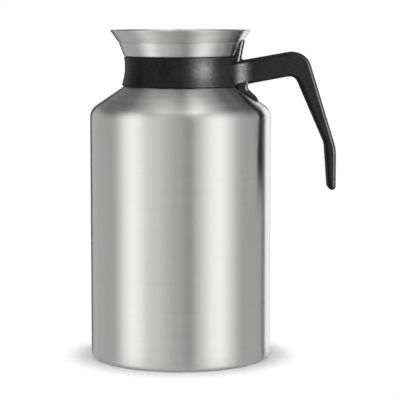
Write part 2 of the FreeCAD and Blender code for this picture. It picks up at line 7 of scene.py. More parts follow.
import bmesh
import bpy
from bpy.props import FloatProperty, FloatVectorProperty, IntProperty, PointerProperty
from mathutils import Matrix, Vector

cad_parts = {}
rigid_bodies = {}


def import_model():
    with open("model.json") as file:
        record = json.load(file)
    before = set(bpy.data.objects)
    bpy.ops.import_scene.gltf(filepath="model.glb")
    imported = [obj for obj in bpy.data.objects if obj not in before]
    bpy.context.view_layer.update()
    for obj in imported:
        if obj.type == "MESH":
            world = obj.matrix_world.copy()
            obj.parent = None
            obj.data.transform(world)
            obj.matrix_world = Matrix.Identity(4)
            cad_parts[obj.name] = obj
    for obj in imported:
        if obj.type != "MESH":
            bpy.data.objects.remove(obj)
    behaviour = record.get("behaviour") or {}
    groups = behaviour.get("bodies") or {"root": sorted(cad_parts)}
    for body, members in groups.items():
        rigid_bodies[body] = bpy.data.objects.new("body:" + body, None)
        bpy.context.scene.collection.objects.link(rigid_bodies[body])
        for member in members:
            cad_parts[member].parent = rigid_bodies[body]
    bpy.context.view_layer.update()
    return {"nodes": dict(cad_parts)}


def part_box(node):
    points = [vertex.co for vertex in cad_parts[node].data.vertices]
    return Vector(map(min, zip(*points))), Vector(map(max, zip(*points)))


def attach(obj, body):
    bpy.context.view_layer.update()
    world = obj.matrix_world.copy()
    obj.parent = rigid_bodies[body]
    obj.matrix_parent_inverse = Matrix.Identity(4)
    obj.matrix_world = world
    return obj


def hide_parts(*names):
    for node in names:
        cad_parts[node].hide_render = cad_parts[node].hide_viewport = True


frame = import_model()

bl_info = {
    "name": "Thermal carafe",
    "version": (1, 0, 0),
    "blender": (4, 5, 0),
    "location": "View3D > Sidebar > Carafe",
    "description": "Models a thermal carafe piece by piece, with its finishes and a studio stage",
    "category": "Object",
}

MM = 0.001
FULL_TURN = 2 * math.pi
ARC_STEP = math.radians(6)
SMOOTH_ANGLE = math.radians(32)
# Vertices closer than the first are merged, vertices closer to a plane than the second count as in it, and
# edges shorter than the third are taken out after a cut.
MERGE_DISTANCE = 1e-6
PLANE_DISTANCE = 5e-6
SLIVER = 1e-5
# How far a piece goes on past the place where it is cut off later.
CUT_ALLOWANCE = 3 * MM
X_AXIS = Vector((1, 0, 0))
Y_AXIS = Vector((0, 1, 0))
Z_AXIS = Vector((0, 0, 1))
WHITE = (1, 1, 1, 1)
# Most values of a noise lie between these.
NOISE_RANGE = (0.3, 0.7)


def low(node):
    """Lowest corner of a CAD node."""
    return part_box(node)[0]


def high(node):
    """Highest corner of a CAD node."""
    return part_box(node)[1]


def length(name, description, default):
    """Size in metres that a user may change."""
    return FloatProperty(name=name, description=description, default=default, min=0, precision=5,
                         unit="LENGTH")


def angle(name, description, degrees):
    """Angle that a user may change."""
    return FloatProperty(name=name, description=description, default=math.radians(degrees), unit="ROTATION")


def share(name, description, default):
    """Number from 0 to 1 that a user may change."""
    return FloatProperty(name=name, description=description, default=default, min=0, max=1, subtype="FACTOR")


def brightness(name, description, default):
    """Strength of a light that a user may change."""
    return FloatProperty(name=name, description=description, default=default, min=0)


def colour(name, description, default):
    """Colour that a user may change."""
    return FloatVectorProperty(name=name, description=description, default=default, size=3, min=0, max=1,
                               subtype="COLOR")


def place(name, description, default):
    """Point that a user may change."""
    return FloatVectorProperty(name=name, description=description, default=default, size=len(default),
                               precision=5, unit="LENGTH", subtype="XYZ")


class CarafeFlask(bpy.types.PropertyGroup):
    """Sizes of the steel flask and its funnel"""
    body_radius: length("Body radius", "Outside of the straight side", high("outer_shell").x)
    shell_wall: length("Shell wall", "Thickness of the outer wall", 0.8 * MM)
    foot_rounding: length("Foot rounding", "Rounding between the side and the foot", 3 * MM)
    foot_width: length("Foot width", "Flat ring that the flask stands on", 5.5 * MM)
    flange_height: length("Foot flange", "Height of the turned-in foot flange", 5.5 * MM)
    flange_rounding: length("Flange rounding", "Rounding inside the foot", 1.5 * MM)
    shoulder_height: length("Shoulder height", "Where side and shoulder would meet", 179.3 * MM)
    shoulder_angle: angle("Shoulder angle", "Slope of the shoulder", 34.4)
    shoulder_rounding: length("Shoulder rounding", "Rounding between side and shoulder", 10 * MM)
    neck_radius: length("Neck radius", "Outside of the neck", 35.2 * MM)
    neck_fillet: length("Neck fillet", "Rounding between shoulder and neck", 2.5 * MM)
    neck_top: length("Neck top", "Height of the neck's end", high("outer_shell").z)
    base_recess: length("Base recess", "Height of the base plate above the table", 4 * MM)
    base_dimple: length("Base dimple", "Radius of the dimple in the base plate", 14 * MM)
    dimple_depth: length("Dimple depth", "Depth of the dimple", 1.6 * MM)
    inner_wall: length("Inner wall", "Thickness of the inner flask", 0.6 * MM)
    inner_radius: length("Inner radius", "Outside of the inner flask", high("inner_flask").x)
    inner_floor: length("Inner floor", "Underside of the inner flask", low("inner_flask").z)
    inner_shoulder: length("Inner shoulder", "Where the inner side and shoulder would meet", 175.19 * MM)
    mouth_radius: length("Mouth radius", "Inside of the neck", 32 * MM)
    funnel_wall: length("Funnel wall", "Thickness of the funnel", 0.8 * MM)
    funnel_radius: length("Funnel foot radius", "Outside of the funnel at its foot", 40.2 * MM)
    funnel_rounding: length("Funnel foot rounding", "Rounding of the funnel's foot", 2 * MM)
    crease_radius: length("Crease radius", "Outside of the funnel at its crease", 44.2 * MM)
    crease_rise: length("Crease rise", "Height of the crease above the funnel's foot", 10 * MM)
    crease_rounding: length("Crease rounding", "Rounding of the crease inside", 0.9 * MM)
    groove_height: length("Crease groove height", "Height of the line pressed into the crease", 0.7 * MM)
    groove_depth: length("Crease groove depth", "Depth of the line pressed into the crease", 0.45 * MM)
    rim_radius: length("Rim radius", "Outside of the rim before it is rounded", 50.3 * MM)
    rim_rise: length("Rim rise", "Height of the rim above the funnel's foot", 18.75 * MM)
    rim_rounding: length("Rim rounding", "Rounding of the rim's edges", 0.34 * MM)
    steps: IntProperty(name="Steps", description="Faces round the flask", default=240, min=24)


class CarafeHandle(bpy.types.PropertyGroup):
    """Sizes of the collar, arm, grip and saddle"""
    bore: length("Collar bore", "Inside of the collar", 36.1 * MM)
    top_radius: length("Collar top radius", "Outside of the collar's upper edge", 40.5 * MM)
    waist_radius: length("Collar waist corner", "Where the lines of the waist would meet", 38.9 * MM)
    waist_height: length("Waist height", "Height of the waist", 208.5 * MM)
    waist_sweep: length("Waist sweep", "Rounding of the waist", 38 * MM)
    bottom_radius: length("Collar bottom radius", "Outside of the collar's lower edge", 42.6 * MM)
    collar_top: length("Collar top", "Height of the collar's upper edge", 217.15 * MM)
    seat_gap: length("Seat gap", "Room between the collar and the shoulder", 0.3 * MM)
    collar_edge: length("Collar edge", "Rounding of the collar's edges", 0.9 * MM)
    depth: length("Handle depth", "Thickness of arm and grip from front to rear", 22 * MM)
    root_blend: length("Root blend", "Rounding, from above, between collar and arm", 22 * MM)
    edge: length("Handle edge", "Rounding of the handle's long edges", 2.4 * MM)
    seam: length("Seam", "Half of the fine gap between the two halves", 0.06 * MM)
    top_angle: angle("Arm top angle", "Rise of the arm's upper side", 10)
    under_angle: angle("Arm under angle", "Rise of the arm's lower side", 10.5)
    elbow: place("Elbow", "Outer corner of the elbow", (89.8 * MM, 222.5 * MM))
    elbow_rounding: length("Elbow rounding", "Outer rounding of the elbow", 13.3 * MM)
    inner_elbow: place("Inner elbow", "Inner corner of the elbow", (82.4 * MM, 204.2 * MM))
    inner_elbow_rounding: length("Inner elbow rounding", "Inner rounding of the elbow", 7.5 * MM)
    knee: place("Knee", "Outer corner of the knee", (high("handle_front_half").x - 0.5 * MM, 151.3 * MM))
    knee_rounding: length("Knee rounding", "Outer rounding of the knee", 26 * MM)
    inner_knee: place("Inner knee", "Inner corner of the knee", (104.08 * MM, 154.6 * MM))
    inner_knee_rounding: length("Inner knee rounding", "Inner rounding of the knee", 13 * MM)
    end_height: length("Grip end", "Height of the grip's lower end", low("handle_front_half").z + 0.7 * MM)
    end_width: length("Grip end width", "Width of the grip's lower end", 5.2 * MM)
    end_rounding: length("Grip end rounding", "Rounding of the grip's lower end", 2.5 * MM)
    tongue_width: length("Tongue width", "Width of both tongues of the saddle", 24 * MM)
    tongue_corner: length("Tongue corner", "Rounding of the upper tongue's corners", 3.6 * MM)
    tongue_ridge: length("Tongue ridge", "Rounding of the lower tongue's ridges", 2.4 * MM)
    screw_head: length("Screw head", "Radius of the handle screws' heads", 2.8 * MM)
    screw_seat: length("Screw seat", "Depth of the handle screws' seats from the middle", 8 * MM)


class CarafeLid(bpy.types.PropertyGroup):
    """Sizes of the stopper"""
    ledge: length("Ledge", "Height of the ledge that the stopper sits on", 218.1 * MM)
    flange_radius: length("Flange radius", "Outside of the flange", high("lid_body").x)
    flange_top: length("Flange top", "Height of the flange's upper side", high("lid_body").z)
    skirt_radius: length("Skirt radius", "Outside of the skirt", 31.2 * MM)
    skirt_inner: length("Skirt inner radius", "Inside of the skirt", 28.4 * MM)
    skirt_bottom: length("Skirt bottom", "Height of the skirt's lower edge", low("lid_body").z)
    groove_radius: length("Groove radius", "Bottom of the seal's groove", 29.6 * MM)
    dish_top: length("Dish floor", "Height of the dish's floor", 216.1 * MM)
    dish_bottom: length("Dish underside", "Height of the floor's underside", 213.9 * MM)
    hub_radius: length("Hub radius", "Hole for the knob's spigot", 7 * MM)
    slot_inner: length("Slot inner radius", "Inner side of the pouring slot", 19.5 * MM)
    slot_outer: length("Slot outer radius", "Outer side of the pouring slot", 26.5 * MM)
    slot_angle: angle("Slot angle", "Half of the pouring slot's angle", 38)
    knob_top: length("Knob top", "Height of the knob", high("lid_knob").z)
    knob_radius: length("Knob radius", "Outside of the knob's lip", high("lid_knob").x)
    knob_bore: length("Knob bore", "Passage through the knob", 5.5 * MM)
    spigot_radius: length("Spigot radius", "Outside of the knob's spigot", 6.9 * MM)
    spigot_bottom: length("Spigot bottom", "Height of the spigot's end", low("lid_knob").z)
    nut_flats: length("Nut width", "Width of the nut across its flats", 20 * MM)
    nut_bottom: length("Nut bottom", "Height of the nut's underside", low("knob_nut").z)
    tube_radius: length("Tube radius", "Outside of the tube", high("mixing_tube").x)
    tube_bore: length("Tube bore", "Inside of the tube", 6.95 * MM)
    tube_bottom: length("Tube bottom", "Height of the tube's lower end", low("mixing_tube").z)
    notch_radius: length("Notch radius", "Notches at the tube's lower end", 4 * MM)


class CarafeFinish(bpy.types.PropertyGroup):
    """Colours and gloss of the finishes"""
    steel: colour("Brushed steel", "Colour of the body and funnel", (0.58, 0.58, 0.575))
    steel_roughness: share("Steel roughness", "Roughness of the brushed steel", 0.32)
    steel_grain: share("Steel grain", "How far the brushing stretches reflections", 1)
    satin: colour("Satin steel", "Colour of the inner flask and base", (0.48, 0.48, 0.48))
    plastic: colour("Handle plastic", "Colour of the collar and handle", (0.002, 0.002, 0.0022))
    plastic_roughness: share("Handle roughness", "Roughness of the grained plastic", 0.38)
    saddle: colour("Saddle plastic", "Colour of the polished saddle", (0.006, 0.006, 0.0062))
    stopper: colour("Stopper plastic", "Colour of the stopper", (0.014, 0.014, 0.0145))
    silicone: colour("Silicone", "Colour of the seal", (0.09, 0.09, 0.092))


class CarafeStage(bpy.types.PropertyGroup):
    """Camera, floor and light"""
    camera: place("Camera", "Where the camera stands", (0, -1.212, 0.248))
    camera_tilt: angle("Camera tilt", "How far the camera looks down", 6.331)
    camera_turn: angle("Camera turn", "How far the camera looks to the right", 0.667)
    lens: FloatProperty(name="Lens", description="Focal length", default=151.28, unit="CAMERA")
    floor: colour("Floor", "Colour of the floor", (0.86, 0.86, 0.865))
    floor_radius: length("Floor radius", "Where the floor has faded into the backdrop", 0.09)
    floor_lift: brightness("Floor lift", "Added white of the floor", 0.09)
    daylight: brightness("Room light", "Strength of the even light", 0.8)
    tent: brightness("Tent", "Strength of the light tent's side", 0.64)
    ceiling: brightness("Ceiling", "Strength of the light tent's top", 1.45)
    ground: brightness("Ground", "Strength of the light tent's underside", 0.65)
    card_radius: length("Card distance", "Distance of the studio cards", 2.2)
    card_low: length("Card foot", "How far the cards reach below the floor", 2.2)
    card_high: length("Card top", "Upper edge of the cards", 2.4)
    lamp_direction: angle("Lamp direction", "Direction of the handle's lamp from the front", 48)
    lamp_distance: length("Lamp distance", "Distance of the handle's lamp", 1.9)
    lamp_height: length("Lamp height", "Height of the handle's lamp", 0.3)
    lamp_aim: length("Lamp aim", "Height that the handle's lamp points at", 0.2)
    lamp_width: length("Lamp width", "Width of the handle's lamp", 0.9)
    lamp_length: length("Lamp length", "Length of the handle's lamp", 1.1)
    lamp_power: FloatProperty(name="Lamp power", description="Power of the handle's lamp", default=185, min=0,
                              unit="POWER")


GROUPS = {"carafe_flask": CarafeFlask, "carafe_handle": CarafeHandle, "carafe_lid": CarafeLid,
          "carafe_finish": CarafeFinish, "carafe_stage": CarafeStage}


def deselect():
    """Object mode with nothing selected."""
    if bpy.context.object and bpy.context.object.mode != "OBJECT":
        bpy.ops.object.mode_set(mode="OBJECT")
    bpy.ops.object.select_all(action="DESELECT")


def pick(obj):
    """Object mode with one object selected."""
    deselect()
    obj.select_set(True)
    bpy.context.view_layer.objects.active = obj


def edit(obj, kind="VERT", action="SELECT"):
    """Edit mode on one object, with all or nothing of it selected."""
    pick(obj)
    bpy.ops.object.mode_set(mode="EDIT")
    bpy.ops.mesh.select_mode(type=kind)
    bpy.ops.mesh.select_all(action=action)


def leave_edit():
    """Back to object mode."""
    bpy.ops.object.mode_set(mode="OBJECT")


def named(obj, name):
    """Gives an object and its mesh one name."""
    obj.name = name
    obj.data.name = name
    return obj


def rounded(before, corner, after):
    """Start, centre, turn and end of the arc that rounds a corner (across, along, rounding)."""
    here = Vector(corner[:2])
    arriving = (here - Vector(before[:2])).normalized()
    leaving = (Vector(after[:2]) - here).normalized()
    turn = math.atan2(arriving.cross(leaving), arriving.dot(leaving))
    set_back = corner[2] * math.tan(abs(turn) / 2)
    start = here - arriving * set_back
    side = Vector((-arriving.y, arriving.x)) * math.copysign(corner[2], turn)
    return start, start + side, turn, here + leaving * set_back


def inset(corners, wall):
    """Points of a line drawn one wall to the left of another."""
    points = [Vector(corner[:2]) for corner in corners]
    runs = [(after - before).normalized() for before, after in zip(points, points[1:])]
    sides = [Vector((-run.y, run.x)) for run in runs]
    found = []
    for point, before, after in zip(points, sides[:1] + sides, sides + sides[-1:]):
        found.append(point + (before + after) * wall / (1 + before.dot(after)))
    return found


def in_section(point):
    """Place of a point of the section, in the handle's middle plane."""
    return Vector((point.x, 0, point.y))


def upright(inner, outer, bottom, top):
    """Corners of an upright rectangle in the section."""
    return [(inner, bottom, 0), (outer, bottom, 0), (outer, top, 0), (inner, top, 0)]


def trace(name, corners, closed=True):
    """Draws an outline of corners by extruding and spinning one vertex, and stays in edit mode."""
    turns = []
    for index, corner in enumerate(corners):
        if corner[2]:
            turns.append(rounded(corners[index - 1], corner, corners[(index + 1) % len(corners)]))
        else:
            turns.append((Vector(corner[:2]), None, 0, Vector(corner[:2])))
    at = turns[0][3]
    deselect()
    bpy.ops.mesh.primitive_plane_add(size=MM)
    obj = named(bpy.context.object, name)
    edit(obj)
    bpy.ops.mesh.merge(type="CENTER")
    bpy.ops.transform.translate(value=in_section(at))
    for start, centre, turn, end in turns[1:] + turns[:1] * closed:
        run = start - at
        if run.length > MERGE_DISTANCE:
            bpy.ops.mesh.extrude_vertices_move(TRANSFORM_OT_translate={"value": in_section(run)})
        if centre:
            bpy.ops.mesh.spin(steps=max(2, math.ceil(abs(turn) / ARC_STEP)), angle=turn,
                              center=in_section(centre), axis=Y_AXIS)
        at = end
    tidy_mesh()
    return obj


def tidy_mesh():
    """Merges doubles and points the faces outwards, in edit mode."""
    bpy.ops.mesh.select_all(action="SELECT")
    bpy.ops.mesh.remove_doubles(threshold=MERGE_DISTANCE)
    bpy.ops.mesh.normals_make_consistent(inside=False)


def spun(name, corners, steps, closed=True, span=FULL_TURN):
    """Piece turned about the flask's axis from a section of corners (radius, height, rounding)."""
    obj = trace(name, corners, closed)
    bpy.ops.mesh.spin(steps=steps, angle=span, center=(0, 0, 0), axis=Z_AXIS)
    tidy_mesh()
    mesh = bmesh.from_edit_mesh(obj.data)
    widest = max(mesh.faces, key=lambda face: face.calc_center_median().xy.length)
    if widest.normal.xy.dot(widest.calc_center_median().xy) < 0:
        bpy.ops.mesh.flip_normals()
    leave_edit()
    return obj


def slab(name, corners, depth):
    """Closed block from an outline, as deep in front of the handle's middle plane as behind it."""
    obj = trace(name, corners)
    bpy.ops.mesh.edge_face_add()
    bpy.ops.transform.translate(value=Y_AXIS * (-depth / 2))
    bpy.ops.mesh.extrude_region_move(TRANSFORM_OT_translate={"value": Y_AXIS * depth})
    tidy_mesh()
    leave_edit()
    return obj


def rod(name, radius, middle, depth, sides=48):
    """Round bar along Y, to cut with."""
    deselect()
    bpy.ops.mesh.primitive_cylinder_add(vertices=sides, radius=radius, depth=depth, location=middle,
                                        rotation=(math.pi / 2, 0, 0))
    obj = named(bpy.context.object, name)
    bpy.ops.object.transform_apply(location=True, rotation=True, scale=True)
    return obj


def apply_modifier(obj, kind, **settings):
    """Adds a modifier with its settings and applies it."""
    pick(obj)
    modifier = obj.modifiers.new(kind.lower(), kind)
    for key, value in settings.items():
        setattr(modifier, key, value)
    bpy.ops.object.modifier_apply(modifier=modifier.name)
    return obj


def thicken(obj, wall):
    """Gives a skin its wall, on the side away from its normals."""
    return apply_modifier(obj, "SOLIDIFY", thickness=wall, offset=-1, use_even_offset=True)


def combine(obj, tool, operation):
    """Joins another closed mesh to a piece, or cuts it away, and deletes it."""
    apply_modifier(obj, "BOOLEAN", operation=operation, object=tool, solver="EXACT")
    if not obj.data.polygons:
        raise RuntimeError(obj.name + " was lost in a boolean")
    pick(tool)
    bpy.ops.object.delete()
    return clean(obj)


def clean(obj, smallest=SLIVER):
    """Takes the slivers that cuts leave out of a mesh."""
    edit(obj)
    bpy.ops.mesh.remove_doubles(threshold=smallest)
    bpy.ops.mesh.dissolve_degenerate(threshold=smallest)
    bpy.ops.mesh.select_all(action="SELECT")
    bpy.ops.mesh.delete_loose()
    leave_edit()
    return obj


def bevel_edges(obj, chosen, width, segments=3, clamp=True):
    """Rounds the edges that a test picks."""
    edit(obj, "EDGE", "DESELECT")
    mesh = bmesh.from_edit_mesh(obj.data)
    found = [edge for edge in mesh.edges if len(edge.link_faces) == 2 and chosen(edge)]
    for edge in found:
        edge.select_set(True)
    bmesh.update_edit_mesh(obj.data)
    if not found:
        raise RuntimeError(obj.name + " has no edge to round")
    bpy.ops.mesh.bevel(offset=width, segments=segments, profile=0.5, clamp_overlap=clamp)
    leave_edit()
    return obj


def keep_side(obj, point, normal):
    """Cuts a piece with a plane, takes away what lies beyond it and closes the cut."""
    edit(obj)
    bpy.ops.mesh.bisect(plane_co=point, plane_no=normal, use_fill=True, clear_outer=True,
                        threshold=MERGE_DISTANCE)
    leave_edit()
    return clean(obj, MERGE_DISTANCE)


def sharp(edge, degrees):
    """True for an edge between faces at more than this angle."""
    return edge.calc_face_angle(0) > math.radians(degrees)


def settle(obj, material, body, slot, *nodes):
    """Shades a finished piece, gives it its finish and sets it on its body in place of its CAD nodes."""
    pick(obj)
    bpy.ops.object.shade_smooth_by_angle(angle=SMOOTH_ANGLE)
    apply_modifier(obj, "WEIGHTED_NORMAL", keep_sharp=True, weight=60)
    obj.data.materials.clear()
    obj.data.materials.append(material)
    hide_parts(*nodes)
    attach(obj, body)


def add_node(tree, kind, inputs=None, **settings):
    """New shader node with its settings, values and links."""
    made = tree.nodes.new(kind)
    for key, value in settings.items():
        setattr(made, key, value)
    for key, value in (inputs or {}).items():
        if isinstance(value, bpy.types.NodeSocket):
            tree.links.new(value, made.inputs[key])
        else:
            made.inputs[key].default_value = value
    return made


def new_material(name):
    """Empty material and its node tree."""
    material = bpy.data.materials.new(name)
    material.use_nodes = True
    material.node_tree.nodes.clear()
    return material, material.node_tree


def show(tree, surface):
    """Makes a shader the surface of its material."""
    add_node(tree, "ShaderNodeOutputMaterial", {"Surface": surface})


def reckon(tree, first, second, operation="ADD"):
    """Sum of two values, or the outcome of another operation on them."""
    return add_node(tree, "ShaderNodeMath", {0: first, 1: second}, operation=operation).outputs["Value"]


def noise(tree, vector, scale, detail, roughness=0.5):
    """Noise value over a vector."""
    return add_node(tree, "ShaderNodeTexNoise", {"Vector": vector, "Scale": scale, "Detail": detail,
                                                 "Roughness": roughness}).outputs["Fac"]


def spread(tree, value, middle, reach):
    """Maps the middle of a noise value on a range about another value."""
    return add_node(tree, "ShaderNodeMapRange", {
        "Value": value, "From Min": NOISE_RANGE[0], "From Max": NOISE_RANGE[1],
        "To Min": middle - reach, "To Max": middle + reach}).outputs["Result"]


def fade(tree, value, start, end, first, last):
    """Goes smoothly from a first to a last value, while another one goes from its start to its end."""
    return add_node(tree, "ShaderNodeMapRange", {
        "Value": value, "From Min": start, "From Max": end, "To Min": first, "To Max": last},
        interpolation_type="SMOOTHSTEP").outputs["Result"]


def relief(tree, height, strength, distance):
    """Surface direction that a height gives."""
    bump = add_node(tree, "ShaderNodeBump", {"Strength": strength, "Distance": distance, "Height": height})
    return bump.outputs["Normal"]


def tinted(tree, value, tone, lowest, highest):
    """Colour that goes from a darker to a lighter shade of a tone."""
    ramp = add_node(tree, "ShaderNodeValToRGB", {"Fac": value})
    for element, position, factor in zip(ramp.color_ramp.elements, NOISE_RANGE, (lowest, highest)):
        element.position = position
        element.color = [min(1, part * factor) for part in tone] + [1]
    return ramp.outputs["Color"]


def object_place(tree):
    """The piece's own coordinates."""
    return add_node(tree, "ShaderNodeTexCoord").outputs["Object"]


def axis_distance(tree, here):
    """Distance of a place from the flask's axis."""
    level = add_node(tree, "ShaderNodeVectorMath", {0: here, 1: (1, 1, 0)}, operation="MULTIPLY")
    away = add_node(tree, "ShaderNodeVectorMath", {0: level.outputs["Vector"]}, operation="LENGTH")
    return away.outputs["Value"]


def turned_lines(tree, line_scale, streak_scale):
    """Coordinates whose noise runs in lines round the flask's axis, on sides, cones and flats alike."""
    here = object_place(tree)
    parts = add_node(tree, "ShaderNodeSeparateXYZ", {"Vector": here})
    lines = add_node(tree, "ShaderNodeCombineXYZ", {"X": axis_distance(tree, here), "Y": parts.outputs["Z"],
                                                    "Z": parts.outputs["X"]})
    return add_node(tree, "ShaderNodeVectorMath",
                    {0: lines.outputs["Vector"], 1: (line_scale, line_scale, streak_scale)},
                    operation="MULTIPLY").outputs["Vector"]


# Brushed lines: lines and streaks to the metre, and the darkest and lightest shade on side and cones.
FINE_LINES = (900, 40)
BROAD_LINES = (160, 9)
SIDE_SHADES = (0.955, 1.045)
CONE_SHADES = (0.84, 1.16)
# Distances from the axis between which the cones' shades go over into the side's.
CONE_EDGE = (57 * MM, 64 * MM)
LINE_HEIGHT = 0.02 * MM
GRAIN_HEIGHT = 0.1 * MM
# How far the grain makes the gloss of a moulded skin rise and fall.
GLINT_SHARE = 0.8
# Numbers of the two colour inputs and the colour output of a mixing node.
MIX_FIRST = 6
MIX_SECOND = 7
MIX_RESULT = 2


def steel(name, tone, roughness, grain):
    """Steel with fine lines round the axis, in its colour, gloss and surface."""
    material, tree = new_material(name)
    fine = noise(tree, turned_lines(tree, *FINE_LINES), scale=1, detail=4, roughness=0.75)
    broad = noise(tree, turned_lines(tree, *BROAD_LINES), scale=1, detail=3, roughness=0.6)
    mean = reckon(tree, reckon(tree, fine, broad), 0.5, "MULTIPLY")
    brushed = add_node(tree, "ShaderNodeMix", {
        "Factor": fade(tree, axis_distance(tree, object_place(tree)), *CONE_EDGE, 1, 0),
        MIX_FIRST: tinted(tree, mean, tone, *SIDE_SHADES),
        MIX_SECOND: tinted(tree, mean, tone, *CONE_SHADES)}, data_type="RGBA")
    shader = add_node(tree, "ShaderNodeBsdfPrincipled", {
        "Base Color": brushed.outputs[MIX_RESULT], "Roughness": spread(tree, mean, roughness, reach=0.025),
        "Metallic": 1, "Anisotropic": grain, "Anisotropic Rotation": 0.25,
        "Normal": relief(tree, fine, strength=0.03, distance=LINE_HEIGHT)})
    show(tree, shader.outputs["BSDF"])
    return material


def moulded(name, tone, roughness, grain_scale, grain_depth, gloss=0.5):
    """Moulded plastic or rubber: a fine pebbled skin that glints, with slow changes of tone and roughness."""
    material, tree = new_material(name)
    here = object_place(tree)
    skin = noise(tree, here, grain_scale, detail=2, roughness=0.6)
    slow = noise(tree, here, scale=60, detail=3, roughness=0.6)
    shader = add_node(tree, "ShaderNodeBsdfPrincipled", {
        "Base Color": tinted(tree, slow, tone, lowest=0.85, highest=1.15),
        "Roughness": spread(tree, slow, roughness, reach=0.03),
        "Specular IOR Level": spread(tree, skin, gloss, gloss * grain_depth * GLINT_SHARE),
        "Normal": relief(tree, skin, grain_depth, GRAIN_HEIGHT)})
    show(tree, shader.outputs["BSDF"])
    return material


def metal(name, tone, roughness, scale):
    """Plain metal with a fine turned or crumpled surface."""
    material, tree = new_material(name)
    mottle = noise(tree, object_place(tree), scale, detail=4, roughness=0.65)
    shader = add_node(tree, "ShaderNodeBsdfPrincipled", {
        "Base Color": tinted(tree, mottle, tone, lowest=0.86, highest=1.1),
        "Roughness": spread(tree, mottle, roughness, reach=0.06),
        "Metallic": 1, "Normal": relief(tree, mottle, strength=0.12, distance=GRAIN_HEIGHT)})
    show(tree, shader.outputs["BSDF"])
    return material


def finish(name):
    """Material of one finish, made when it is first asked for."""
    if name in bpy.data.materials:
        return bpy.data.materials[name]
    tones = bpy.context.scene.carafe_finish
    # Steel has tone, roughness and grain. Moulded skins have tone, roughness, scale and depth of the grain,
    # and gloss. Plain metal has tone, roughness and scale of its mottling.
    makers = {
        "brushed_steel_finish": (steel, tones.steel, tones.steel_roughness, tones.steel_grain),
        "satin_steel_finish": (steel, tones.satin, 0.34, 0.4),
        "grained_plastic_finish": (moulded, tones.plastic, tones.plastic_roughness, 1000, 0.6, 0.115),
        "polished_plastic_finish": (moulded, tones.saddle, 0.16, 400, 0.02, 0.12),
        "stopper_finish": (moulded, tones.stopper, 0.3, 1800, 0.12),
        "tube_finish": (moulded, tones.stopper, 0.38, 900, 0.08),
        "silicone_finish": (moulded, tones.silicone, 0.6, 1200, 0.12, 0.35),
        "rubber_finish": (moulded, (0.02, 0.02, 0.02), 0.75, 1400, 0.25, 0.3),
        "solder_glass_finish": (moulded, (0.2, 0.18, 0.15), 0.2, 700, 0.1),
        "getter_finish": (metal, (0.2, 0.2, 0.21), 0.55, 900),
        "foil_finish": (metal, (0.8, 0.8, 0.81), 0.2, 150),
        "screw_finish": (metal, (0.55, 0.55, 0.56), 0.28, 1500),
        "brass_finish": (metal, (0.72, 0.56, 0.28), 0.3, 1200),
    }
    maker, *values = makers[name]
    return maker(name, *values)


def shoulder_z(radius, gap=0):
    """Height of the shoulder at a radius, or of a line that far above it."""
    size = bpy.context.scene.carafe_flask
    rise = (size.body_radius - radius) * math.tan(size.shoulder_angle)
    return size.shoulder_height + rise + gap / math.cos(size.shoulder_angle)


def foot_edge():
    """Radius at which the foot turns up into its flange."""
    size = bpy.context.scene.carafe_flask
    return size.body_radius - size.foot_rounding - size.foot_width


class CARAFE_OT_outer_shell(bpy.types.Operator):
    """Model the outer shell: traced section, spun and given its wall"""
    bl_idname = "carafe.outer_shell"
    bl_label = "Outer shell"

    def execute(self, context):
        size = context.scene.carafe_flask
        neck_base = shoulder_z(size.neck_radius)
        shell = spun("shell_body", [
            (foot_edge(), size.flange_height, 0),
            (foot_edge(), 0, size.flange_rounding),
            (size.body_radius, 0, size.foot_rounding),
            (size.body_radius, size.shoulder_height, size.shoulder_rounding),
            (size.neck_radius, neck_base, size.neck_fillet),
            (size.neck_radius, size.neck_top, 0)], size.steps, closed=False)
        thicken(shell, size.shell_wall)
        settle(shell, finish("brushed_steel_finish"), "flask", "brushed_steel", "outer_shell")
        return {"FINISHED"}


class CARAFE_OT_pouring_funnel(bpy.types.Operator):
    """Model the flared mouth with its crease and rounded rim"""
    bl_idname = "carafe.pouring_funnel"
    bl_label = "Pouring funnel"

    def execute(self, context):
        size = context.scene.carafe_flask
        crease = size.neck_top + size.crease_rise
        groove = size.groove_height / 2
        groove_bend = 0.1 * MM
        flat_share = 0.6
        lower_slope = 0.4
        upper_slope = 0.7
        foot = (size.funnel_radius, size.neck_top, size.funnel_rounding)
        fold = (size.crease_radius, crease, size.crease_rounding)
        rim = (size.rim_radius, size.neck_top + size.rim_rise, size.rim_rounding)
        inside = inset([(size.mouth_radius, size.neck_top), foot, fold, rim], size.funnel_wall)
        funnel = spun("funnel_mouth", [
            (size.mouth_radius, size.neck_top, 0),
            foot,
            (fold[0] - groove * lower_slope, crease - groove, groove_bend),
            (fold[0] - size.groove_depth, crease - groove * flat_share, groove_bend),
            (fold[0] - size.groove_depth, crease + groove * flat_share, groove_bend),
            (fold[0] + groove * upper_slope, crease + groove, groove_bend),
            rim,
            (*inside[3], size.rim_rounding),
            (*inside[2], size.crease_rounding),
            (*inside[1], size.funnel_rounding),
            (*inside[0], 0)], size.steps)
        settle(funnel, finish("brushed_steel_finish"), "flask", "brushed_steel", "pouring_funnel")
        return {"FINISHED"}


